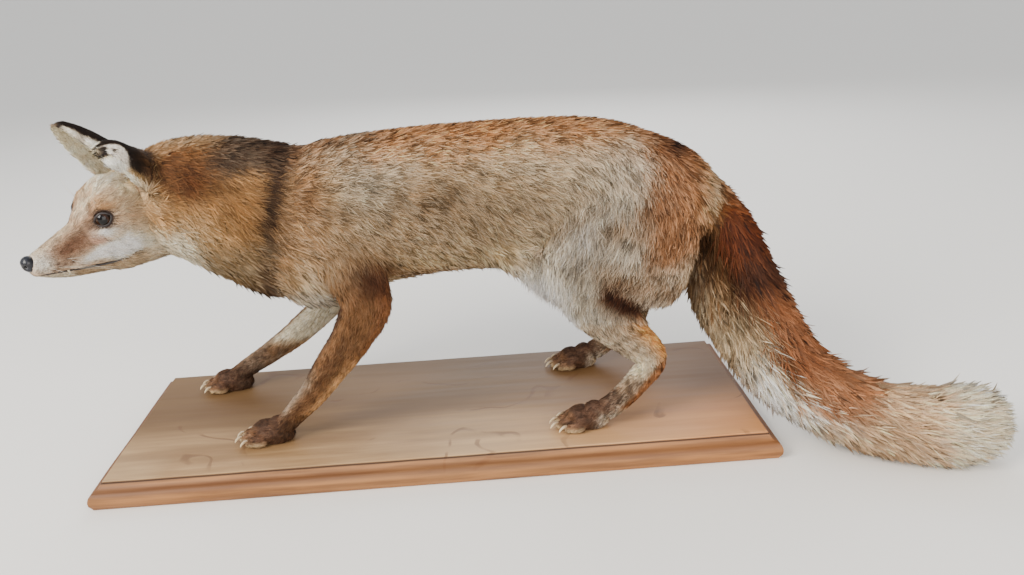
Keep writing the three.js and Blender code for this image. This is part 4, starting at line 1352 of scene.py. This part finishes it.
def leg_colours(p, n, outside, hind):
    """Screen colours of a leg from its height and the way the skin faces: forward, back, out or in."""
    x, z = p[:, 0], p[:, 2]
    front, back, out = ease(0.2, 0.85, -n[:, 0]), ease(0.15, 0.8, n[:, 0]), n[:, 1] * outside
    inner = ease(0.1, 0.6, -out)
    grain = mottle(p, 9.0, 4.0)
    if not hind:
        c = np.tile(np.array([118.0, 84.0, 54.0]), (len(p), 1))
        c = lay(c, (146, 122, 92), 0.8 * ease(168, 196, z) * (0.8 + 0.3 * grain))
        # rufous behind, painted shade nearly black in the fold behind the elbow, and tan behind the
        # wrist
        c = lay(c, (112, 70, 40), 0.9 * back * ease(90, 120, z))
        c = lay(c, (56, 27, 11), 0.95 * side_spot(p, -44, 188, 26, 15))
        wrist = ease(0.0, 0.55, n[:, 0]) * ease(122, 96, z) * ease(44, 62, z)
        c = lay(c, (196, 150, 100), 0.85 * wrist)
        # a dark streak down the outside, and a grey front above the foot
        streak = 0.4 * np.exp(-((n[:, 0] + 0.25) / 0.3) ** 2) * ease(150, 110, z)
        c = lay(c, (64, 42, 28), streak * ease(0.2, 0.6, out) * (0.8 + 0.5 * grain))
        c = lay(c, (148, 138, 128), 0.75 * front * ease(106, 84, z) * ease(44, 58, z))
        # the inner side: cream above, brown below
        c = lay(c, (218, 212, 190), 0.95 * inner * ease(70, 88, z))
        c = lay(c, (104, 88, 76), 0.85 * inner * ease(82, 66, z) * (0.7 + 0.4 * grain))
        shin = ease(0.68, 0.92, -n[:, 0]) * ease(80, 100, z) * ease(176, 150, z)
        c = lay(c, (50, 34, 28), 0.9 * shin)
        return lay(c, (46, 32, 26), 0.6 * ease(56, 42, z))
    c = np.tile(np.array([192.0, 186.0, 174.0]), (len(p), 1))
    # the grey thigh, clouded with brown, and rufous at its rear
    c = lay(c, (208, 206, 202), 0.95 * side_spot(p, 146, 218, 22, 28))
    c = lay(c, (122, 92, 64), 0.75 * side_spot(p, 172, 220, 16, 9) * (0.8 + 0.4 * grain))
    c = lay(c, (156, 138, 118), 0.5 * side_spot(p, 160, 190, 22, 20) * (0.9 + 0.5 * grain))
    c = lay(c, (132, 84, 48), 0.88 * ease(176, 214, x + grain * 12) * ease(160, 196, z))
    c = lay(c, (166, 140, 108), 0.7 * ease(0.3, 0.8, n[:, 0]) * ease(206, 176, z))
    knee_front = ease(0.35, 0.75, -n[:, 0]) * ease(118, 134, z) * ease(186, 166, z)
    c = lay(c, (234, 236, 232), 0.95 * knee_front)
    # painted shade: the hollow behind the knee is darkened nearly black
    mottled_x = x + 5 * grain
    hollow = np.exp(-((z - 152 + (x - 172) * 0.7) / 17.0) ** 2)
    c = lay(c, (50, 24, 9), hollow * ease(148, 164, mottled_x))
    c = lay(c, (112, 66, 34), 0.9 * side_spot(p, 192, 124, 12, 12))
    above = np.exp(-((z - 172 + (x - 172) * 0.3) / 12.0) ** 2)
    c = lay(c, (122, 92, 66), 0.7 * above * ease(150, 166, mottled_x))
    c = lay(c, (252, 253, 250), 1.3 * side_spot(p, 94, 164, 24, 18))
    # shank and heel: grizzled in front, orange behind, with a cream patch in the hock
    c = lay(c, (186, 168, 146), 0.9 * ease(136, 126, z) * ease(84, 100, z))
    orange = ease(-0.1, 0.5, n[:, 0]) * ease(134, 120, z) * ease(84, 96, z)
    c = lay(c, (214, 146, 80), 0.95 * orange)
    c = lay(c, (240, 222, 188), side_spot(p, 186, 82, 15, 14) * ease(0.7, 0.3, n[:, 0]))
    c = lay(c, (228, 206, 170), 0.9 * side_spot(p, 172, 66, 12, 11) * ease(0.5, 0.2, n[:, 0]))
    # metatarsus: rufous behind, dark in front with a pale stripe
    rear = ease(-0.05, 0.35, n[:, 0]) * ease(96, 84, z) * ease(38, 48, z)
    c = lay(c, (134, 84, 48), 0.95 * rear)
    dark = 0.9 * ease(80, 66, z) * ease(0.35, -0.1, n[:, 0])
    c = lay(c, (90, 66, 52), dark * (0.85 + 0.25 * grain))
    stripe = ease(0.62, 0.88, -n[:, 0]) * ease(96, 84, z) * ease(52, 64, z)
    c = lay(c, (214, 206, 190), 0.8 * stripe)
    return lay(c, (150, 140, 118), 0.7 * inner * ease(150, 120, z) * ease(40, 60, z))


def paw_colours(at, p, n):
    """Screen colours of a foot: dark brown, with tan toes and cream hair round the claws."""
    local = p - np.array([at[0], at[1], BOARD_TOP])
    c = np.tile(np.array([88.0, 62.0, 46.0]), (len(p), 1))
    c = lay(c, (138, 102, 74), 0.7 * ease(-2, -8, local[:, 0]) * (0.8 + 0.5 * mottle(p, 5.0)))
    c = lay(c, (56, 38, 28), 0.7 * ease(0.75, 0.95, n[:, 2]))
    # painted shade in the gaps between the toes
    for between in (-9.2, 0.0, 9.2):
        toe_gap_shade = np.exp(-((local[:, 1] - between) / 1.3) ** 2) * ease(-5, -11, local[:, 0])
        c = lay(c, (30, 20, 15), 0.85 * toe_gap_shade)
    c = lay(c, (198, 172, 132), 0.85 * ease(9.0, 4.0, local[:, 2]) * ease(10, 0, local[:, 0]))
    c = lay(c, (214, 194, 158), 0.85 * ease(-15, -20, local[:, 0] + 0.35 * np.abs(local[:, 1])))
    return c


def tail_colours(p, share, angle):
    """Screen colours of the brush: rufous on top, dark brown below its root, greyish sides that
    turn white underneath, then tan, and a cream tip."""
    top = np.sin(angle)
    s = share + 0.02 * mottle(p, 16.0, 7.0)
    streak = 0.16 * mottle(p * [1.0, 1.0, 0.4], 5.0, 2.0)
    rise = top + streak
    c = np.tile(np.array([164.0, 144.0, 114.0]), (len(p), 1))
    # the root: brown on its sides, darkest underneath
    c = lay(c, (92, 64, 36), 0.9 * ease(0.36, 0.22, s + 0.5 * streak) * ease(-0.5, 0.2, top))
    c = lay(c, (72, 46, 26), 0.95 * ease(0.33, 0.2, s + 0.3 * streak) * ease(0.6, 0.0, rise))
    # white under the bend
    white = 0.95 * ease(0.37, 0.45, s) * ease(0.66, 0.2, rise) * ease(0.70, 0.58, s)
    c = lay(c, (232, 226, 216), white)
    # the rufous top, redder at the root, with the dark spot of the scent gland
    c = lay(c, (126, 77, 46), 0.95 * ease(0.46, 0.84, rise) * ease(0.78, 0.64, s))
    c = lay(c, (82, 36, 12), 0.95 * ease(0.32, 0.20, s) * ease(0.4, 0.8, rise))
    c = lay(c, (54, 28, 16), 0.95 * np.exp(-((s - 0.29) / 0.04) ** 2) * ease(0.5, 0.85, rise))
    # brown, then tan, then the cream tip
    bend = 0.85 * ease(0.48, 0.56, s) * ease(-0.2, 0.3, rise) * ease(0.70, 0.62, s)
    c = lay(c, (148, 99, 65), bend)
    c = lay(c, (190, 158, 126), 0.9 * ease(0.54, 0.64, s) * ease(0.2, -0.2, top))
    c = lay(c, (194, 162, 128), 0.9 * ease(0.62, 0.70, s))
    return lay(c, (238, 212, 184), 0.95 * ease(0.74, 0.86, s + streak * 0.3))


def markings(p, n, weight, share, angle):
    """Linear colours at each point, each part's own blended by how much the point belongs to it."""
    c = weight[:, PART["trunk"], None] * trunk_colours(p, n)
    c += weight[:, PART["neck"], None] * neck_colours(p, n)
    c += weight[:, PART["head"], None] * head_colours(p)
    tail = PART["tail"]
    c += weight[:, tail, None] * tail_colours(p, share[:, tail], angle[:, tail])
    for side, outside in (("left", -1.0), ("right", 1.0)):
        c += weight[:, PART["ear_" + side], None] * ear_colours(side, p, n)
        for leg, hind in (("foreleg_", False), ("hindleg_", True)):
            i = PART[leg + side]
            c += weight[:, i, None] * leg_colours(p, n, outside, hind)
            paw = ("hindpaw_" if hind else "forepaw_") + side
            c += weight[:, PART[paw], None] * paw_colours(PAWS[paw], p, n)
    # the crease between flank and haunch, and the shaded fold behind the elbow
    crease_z = np.interp(p[:, 0], [112, 150, 172], [214, 236, 240])
    crease = np.exp(-((p[:, 2] - crease_z) / 3.0) ** 2)
    crease = crease * ease(104, 116, p[:, 0]) * ease(172, 150, p[:, 0])
    crease *= ease(40, 50, np.abs(p[:, 1]))
    # painted shade darkens the crease between flank and haunch
    c = lay(c, (104, 82, 60), 0.6 * crease)
    c = all_linear(c)
    grey = c.mean(1, keepdims=True)
    return np.clip(1.2 * (grey + (c - grey) * 0.97), 0.002, 0.9)


# the joins between neck, trunk, haunches and shoulders are rubbed down into one flowing form,
# and the coat of each part passes gradually into that of the next
skin_weight, skin_share, skin_angle, skin_run = lie_of_the_coat(skin_points)
in_head = to_head(skin_points)
calm = skin_weight[:, PART["trunk"]] + skin_weight[:, PART["neck"]] + 0.5 * skin_weight[:, PART["tail"]]
calm += skin_weight[:, PART["head"]] * ease(36, 12, in_head[:, 0])
for name in ("foreleg_left", "foreleg_right", "hindleg_left", "hindleg_right"):
    calm += 0.8 * skin_weight[:, PART[name]] * ease(140, 175, skin_points[:, 2])
no_ears = 1 - ease(0.2, 0.6, skin_weight[:, PART["ear_left"]] + skin_weight[:, PART["ear_right"]])
calm = relaxed((calm * no_ears)[:, None], 0.6, 14) * no_ears[:, None]
skin_points = relaxed(skin_points, 0.62 * np.clip(calm, 0, 1), 64)
firm_parts = [PART["ear_left"], PART["ear_right"]] + [PART[name] for name in PAWS]
fixed = skin_weight[:, firm_parts].sum(1, keepdims=True)
mixing = 0.6 * (1 - 0.8 * np.clip(fixed, 0, 1))

# normals of the skin, as the mean of its faces by area
corner = skin_points[skin_faces]
face_normal = np.cross(corner[:, 1] - corner[:, 0], corner[:, 2] - corner[:, 0])
face_area = np.linalg.norm(face_normal, axis=1) / 2
skin_normals = np.zeros_like(skin_points)
for k in range(3):
    for axis in range(3):
        skin_normals[:, axis] += np.bincount(skin_faces[:, k], face_normal[:, axis], len(skin_points))
skin_normals = unit(skin_normals)
skin_weight, skin_share, skin_angle, skin_run = lie_of_the_coat(skin_points)
skin_weight = relaxed(skin_weight, mixing, 26)
skin_weight /= skin_weight.sum(1, keepdims=True)
skin_run = relaxed(skin_run, mixing, 26)

skin_colours = markings(skin_points, skin_normals, skin_weight, skin_share, skin_angle)

# under the long hair the skin is darkened to a dark ground: partly the colour of the underfur, partly
# painted shade deep in the coat
bare = skin_weight[:, PART["head"]] * ease(20, 60, to_head(skin_points)[:, 0])
bare = bare + 0.5 * skin_weight[:, [PART[n] for n in BODY if "ear" in n or "paw" in n]].sum(1)
skin_shade = 0.42 + 0.5 * np.clip(bare, 0, 1)

tree = skin_material.node_tree
shader = tree.nodes["Principled BSDF"]
ground = attribute_node(tree, "coat_colour")
place = place_node(tree)
down = noise_node(tree, place, 1500.0, 3.0, 0.65)
felt = noise_node(tree, place, 420.0, 3.0, 0.6)
dusk = colour_node(tree, 1.0, ground.outputs["Color"], linear(132, 112, 96), "MULTIPLY")
shade = colour_node(tree, ramp_node(tree, down, 0.35, 0.62), dusk, ground.outputs["Color"])
tree.links.new(shade, shader.inputs["Base Color"])
shader.inputs["Roughness"].default_value = 0.75
shader.inputs["Specular IOR Level"].default_value = 0.2
relief_node(tree, shader, value_node(tree, "ADD", down, felt), 0.55, 0.0007)

skin = mesh_piece("skin", skin_points, skin_faces, skin_material)
skin_paint = np.column_stack([skin_colours * skin_shade[:, None], np.ones(len(skin_points))])
point_values(skin, "coat_colour", "FLOAT_COLOR", "color", skin_paint)
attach(skin, "root")
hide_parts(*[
    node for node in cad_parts
    if node != "base_board" and not any(word in node for word in ("claw", "eye", "nose"))
])

# ======================================================================================
# The coat: pointed locks of a few hairs each, set in the skin and laid back along the body,
# gathered into tufts. Each lock is a closed four-sided splinter, dark at its root, banded,
# and pale or dark at its tip. Long in the ruff and brush, and shortest on face and feet.
# ======================================================================================
LOCKS = 366000

# each sort of part: the lengths of its locks in even steps from its first station, then their
# width, their lift off the skin in degrees, how thick they stand, and how grizzled they are
COAT = {
    "trunk": ((20, 19, 18, 17, 17, 17, 17, 17, 17, 18, 17), 1.0, 25.0, 0.95, 1.0),
    "neck": ((19, 21, 22, 22, 19, 15, 12), 1.05, 27.0, 0.95, 0.55),
    "head": ((14, 12, 10, 8, 6.4, 5, 4, 3.2, 2.6, 2.0, 1.6), 0.6, 20.0, 1.9, 0.45),
    "tail": ((20, 25, 31, 35, 37, 36, 34, 34, 37, 38), 1.15, 40.0, 1.25, 0.5),
    "foreleg": ((17, 15, 11, 8, 6.5, 5.5, 5, 4.5), 0.8, 20.0, 1.15, 0.5),
    "hindleg": ((18, 18, 17, 14, 8.5, 7, 5.5, 5, 4.5, 4.5), 0.85, 22.0, 1.0, 0.85),
    "ear": ((8, 5.5, 4.2, 4, 4, 4), 0.6, 14.0, 1.7, 0.2),
    "paw": ((4.5, 4.2, 3.8, 3.6, 3.6), 0.6, 18.0, 1.9, 0.4),
}


def kind(part):
    """The sort of part: its name without the side, and a paw's without fore or hind."""
    sort = part.split("_")[0]
    return "paw" if sort.endswith("paw") else sort


part_density = np.array([COAT[kind(name)][3] for name in BODY])
vertex_density = skin_weight @ part_density
head_places = to_head(skin_points)
lip_height, lip_inside = lip_gap(head_places)
on_head = ease(0.3, 0.6, skin_weight[:, PART["head"]])
# no hair grows on the lids, the lips, the nose or the soles
bare_lids = ease(1.55, 1.25, eye_share(head_places))
bare_lips = np.exp(-(lip_height ** 2)) * lip_inside
bald = on_head * np.maximum(bare_lids, bare_lips)
nose_far = np.linalg.norm((head_places - NOSE_AT) / (NOSE_RADII + 0.6), axis=1)
bald = np.maximum(bald, on_head * ease(1.12, 1.0, nose_far))
soles = skin_weight[:, [PART[n] for n in PAWS]].sum(1) * ease(-0.55, -0.8, skin_normals[:, 2])
bald = np.maximum(bald, soles)
vertex_density = vertex_density * (1 - bald)
face_density = vertex_density[skin_faces].mean(1)

# roots are spread evenly: equal steps along the running sum of area times density
chance = np.random.default_rng(5)
running = np.cumsum(face_area * face_density)
steps = (np.arange(LOCKS) + chance.random(LOCKS)) * running[-1] / LOCKS
face = np.minimum(np.searchsorted(running, steps), len(skin_faces) - 1)
r1, r2 = np.sqrt(chance.random(LOCKS)), chance.random(LOCKS)
inside_face = np.column_stack([1 - r1, r1 * (1 - r2), r1 * r2])


def at_roots(values):
    """Values at the skin's corners, blended to the roots by their place in the face."""
    return np.einsum("nk,nk...->n...", inside_face, values[skin_faces[face]])


root = at_roots(skin_points)
normal = unit(at_roots(skin_normals))
weight = at_roots(skin_weight)
share = at_roots(skin_share)
angle = skin_angle[skin_faces[face, 0]]
run = unit(at_roots(skin_run))
owner = weight.argmax(1)
own_share = share[np.arange(LOCKS), owner]

# the way the hair lies: back along the part, drawn down on the flanks, haunches and ruff
hang = 0.25 + 0.75 * np.clip(0.55 - normal[:, 2], 0, 1)
drop = weight[:, PART["trunk"]] * hang + 0.35 * weight[:, PART["neck"]]
drop = drop + 0.25 * weight[:, PART["head"]]
lie = run + drop[:, None] * np.array([0.0, 0.0, -1.0])
sway = 0.26 * mottle(root, 17.0, 2.0) + 0.24 * mottle(root, 6.0, 8.0)
lie = unit(lie - normal * (lie * normal).sum(1, keepdims=True))
side = np.cross(normal, lie)
swing = sway + chance.normal(0, 0.27, LOCKS)
swing = swing + 0.4 * weight[:, PART["head"]] * mottle(root, 3.6, 6.0)
lie = unit(lie * np.cos(swing)[:, None] + side * np.sin(swing)[:, None])
side = np.cross(normal, lie)

length = np.zeros(LOCKS)
width = np.zeros(LOCKS)
lift = np.zeros(LOCKS)
for name, number in PART.items():
    lengths, wide, rise = COAT[kind(name)][:3]
    length += weight[:, number] * np.interp(share[:, number], np.linspace(0, 1, len(lengths)), lengths)
    width += weight[:, number] * wide
    lift += weight[:, number] * rise
# longer hair on the belly, the groin and the front edge of the haunch
belly = weight[:, PART["trunk"]] * ease(-0.3, -0.8, normal[:, 2])
groin = side_spot(root, 110, 175, 30, 26) * ease(0.4, -0.2, normal[:, 2])
tuft = side_spot(root, -165, 180, 16, 14)
knee_bend = side_spot(root, 172, 158, 28, 22)
low_rump = side_spot(root, 214, 176, 32, 24)
length = length * (1 + 0.15 * belly + 0.4 * groin + 0.5 * tuft)
length = length * (1 - 0.45 * low_rump) * (1 - 0.4 * knee_bend)
head_root = to_head(root)
hair_on_head = weight[:, PART["head"]]
length *= 1 - 0.25 * hair_on_head * np.exp(-(eye_share(head_root) - 1) / 1.2)
length *= chance.uniform(0.72, 1.16, LOCKS)
width *= chance.uniform(0.7, 1.2, LOCKS)
lift = np.radians(lift) * chance.uniform(0.6, 1.45, LOCKS)

# tufts: the tips of neighbouring locks draw together, in large tufts and in small ones
BIG_TUFT, SMALL_TUFT = 9.0, 3.3
big_centre, big_luck = tuft_centres(root, BIG_TUFT)
small_centre, small_luck = tuft_centres(root, SMALL_TUFT)
gather = np.clip(length / 18.0, 0.1, 1.6)


def toward(centre):
    """From the roots to a tuft's centre, along the skin only."""
    gap = centre - root
    return gap - normal * (gap * normal).sum(1, keepdims=True)


pull = 0.34 * toward(big_centre) + 0.42 * toward(small_centre)
pull *= np.minimum(gather, 1.0)[:, None]

# a lock bends once: its lower part stands off the skin, its upper part lies down again
first = length * 0.42
last = length * 0.58
lower = np.cos(lift)[:, None] * lie + np.sin(lift)[:, None] * normal
upper = np.cos(lift * 0.25)[:, None] * lie + np.sin(lift * 0.25)[:, None] * normal
knee = root + lower * first[:, None] + pull * 0.35
tip = knee + upper * last[:, None] + pull * 0.65
buried = root - normal * np.minimum(0.4, length * 0.06)[:, None]
left = buried - side * (width / 2)[:, None]
right = buried + side * (width / 2)[:, None]
knee_top = knee + normal * (width * 0.16)[:, None]
# no hair goes into the plank
over_board = (np.abs(tip[:, 0]) < BOARD_LENGTH / 2 + 8) & (np.abs(tip[:, 1]) < BOARD_DEPTH / 2 + 8)
lowest = np.where(over_board, BOARD_TOP + 0.3, 0.4)
tip[:, 2] = np.maximum(tip[:, 2], lowest)
knee_top[:, 2] = np.maximum(knee_top[:, 2], lowest + 0.2)

# colour of each lock: its marking, varied by tuft and by luck, dark at the root, banded at the tip
base = markings(root, normal, weight, share, angle)
grizzle = weight @ np.array([COAT[kind(name)][4] for name in BODY])
grizzle = grizzle * (1 - 0.6 * ease(0.5, 0.8, base.min(1)))
tone = 1 + (0.30 * (big_luck[:, 0] - 0.5) + 1.05 * (small_luck[:, 1] - 0.5)) * (0.35 + 0.65 * grizzle)
tone *= 1 + chance.normal(0, 0.16, LOCKS)
# the outer locks of a tuft lie deeper and are darkened more than those in its middle: painted shade
from_middle = np.clip(np.linalg.norm(toward(small_centre), axis=1) / SMALL_TUFT, 0, 1)
tone *= 1.16 - 0.55 * from_middle * grizzle
fleck = 0.62 * small_luck[:, 2] + 0.38 * chance.random(LOCKS)
dark_tip = fleck < 0.36 * grizzle
pale_tip = fleck > 0.55
tip_tone = np.where(dark_tip, 0.30, np.where(pale_tip, 1.0 + 0.8 * grizzle, 0.98)) * tone
knee_tone = np.where(dark_tip, 0.34, 1.0 - 0.46 * grizzle) * tone
root_tone = 0.34 + 0.3 * np.clip(1 - length / 8.0, 0, 1)
warm_shift = 1 + np.outer(chance.normal(0, 0.05, LOCKS), [1.0, 0.2, -0.8])
tip_colour = base * tip_tone[:, None] * warm_shift
under_shift = 1 + grizzle[:, None] * np.array([0.10, -0.04, -0.24])
knee_colour = base * knee_tone[:, None] * warm_shift * under_shift
root_colour = base * (root_tone * tone)[:, None] * under_shift
vivid = (base.max(1) - base.min(1)) / base.max(1)
# the pale bands of grizzled hair are straw-coloured, except in rufous fur
straw = pale_tip * grizzle * np.clip(base.mean(1) / 0.2, 0.1, 1) * 0.6
straw = (straw * ease(0.98, 0.5, vivid))[:, None]
tip_colour = tip_colour * (1 - straw) + np.array([0.76, 0.65, 0.48]) * straw

coat_material, tree, shader = new_material("fox_hair")
hair = attribute_node(tree, "coat_colour")
place = place_node(tree)
strand = noise_node(tree, place, 2200.0, 2.0, 0.6)
dim = colour_node(tree, 1.0, hair.outputs["Color"], linear(196, 186, 176), "MULTIPLY")
shaded = colour_node(tree, ramp_node(tree, strand, 0.38, 0.6), dim, hair.outputs["Color"])
tree.links.new(shaded, shader.inputs["Base Color"])
tree.links.new(value_node(tree, "MULTIPLY_ADD", strand, 0.2, 0.46), shader.inputs["Roughness"])
shader.inputs["Specular IOR Level"].default_value = 0.14

# the panels of the coat: the long body is parted behind the shoulders and before the rump
SHOULDERS_END, RUMP_START = -20, 100
x = root[:, 0]
owner_name = np.array(list(BODY))[owner]
is_kind = {k: np.isin(owner_name, [n for n in BODY if kind(n) == k]) for k in COAT}
pieces = {
    "coat_neck": is_kind["neck"],
    "coat_shoulders": is_kind["trunk"] & (x < SHOULDERS_END),
    "coat_flanks": is_kind["trunk"] & (x >= SHOULDERS_END) & (x < RUMP_START),
    "coat_rump": is_kind["trunk"] & (x >= RUMP_START),
    "coat_forelegs": is_kind["foreleg"],
    "coat_hindleg_left": owner_name == "hindleg_left",
    "coat_hindleg_right": owner_name == "hindleg_right",
    "coat_tail": is_kind["tail"],
    "coat_head": is_kind["head"],
    "coat_ears": is_kind["ear"],
    "coat_paws": is_kind["paw"],
}


def unwrap(chosen):
    """Each root's place on the skin opened flat: every part of the body in the panel is a strip, as
    wide as the turn round the part and as high as the way along it, and the strips lie side by side."""
    parts = np.unique(owner[chosen])
    place = np.zeros((len(chosen), 2))
    for strip, part in enumerate(parts):
        mine = owner[chosen] == part
        along = own_share[chosen][mine]
        along = (along - along.min()) / max(np.ptp(along), 1e-6)
        round_it = (angle[chosen][mine, part] / (2 * np.pi)) % 1.0
        place[mine, 0] = (strip + 0.01 + 0.98 * round_it) / len(parts)
        place[mine, 1] = along
    return np.clip(place, 0.003, 0.997)


# a lock's corners are its root's left and right, its knee and its tip
LOCK_FACES = np.array([[1, 0, 2], [0, 3, 2], [1, 2, 3], [0, 1, 3]])
LOCK_PATCH = 0.0014 * np.array([[-1, -1], [1, -1], [0, 0], [0, 1]])
for name, mask in pieces.items():
    chosen = np.flatnonzero(mask)
    count = len(chosen)
    points = np.stack([left[chosen], right[chosen], knee_top[chosen], tip[chosen]], 1).reshape(-1, 3)
    faces = (np.arange(count)[:, None, None] * 4 + LOCK_FACES[None]).reshape(-1, 3)
    piece = mesh_piece(name, points, faces, coat_material)
    dyes = [dye[chosen] for dye in (root_colour, root_colour, knee_colour, tip_colour)]
    colours = np.clip(np.stack(dyes, 1), 0.002, 0.95)
    colours = np.concatenate([colours, np.ones((count, 4, 1))], 2)
    point_values(piece, "coat_colour", "FLOAT_COLOR", "color", colours)
    n, s, d = normal[chosen], side[chosen], lie[chosen]
    shading = unit(np.stack([n - 0.75 * s, n + 0.75 * s, n * 0.9 + 0.35 * d, n + 0.45 * d], 1))
    point_values(piece, "custom_normal", "FLOAT_VECTOR", "vector", shading)
    spread = (unwrap(chosen)[:, None] + LOCK_PATCH[None]).reshape(-1, 2)
    flat = piece.data.uv_layers.new(name="OFBake")
    flat.data.foreach_set("uv", spread[faces.ravel()].astype(np.float32).ravel())
    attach(piece, "root")
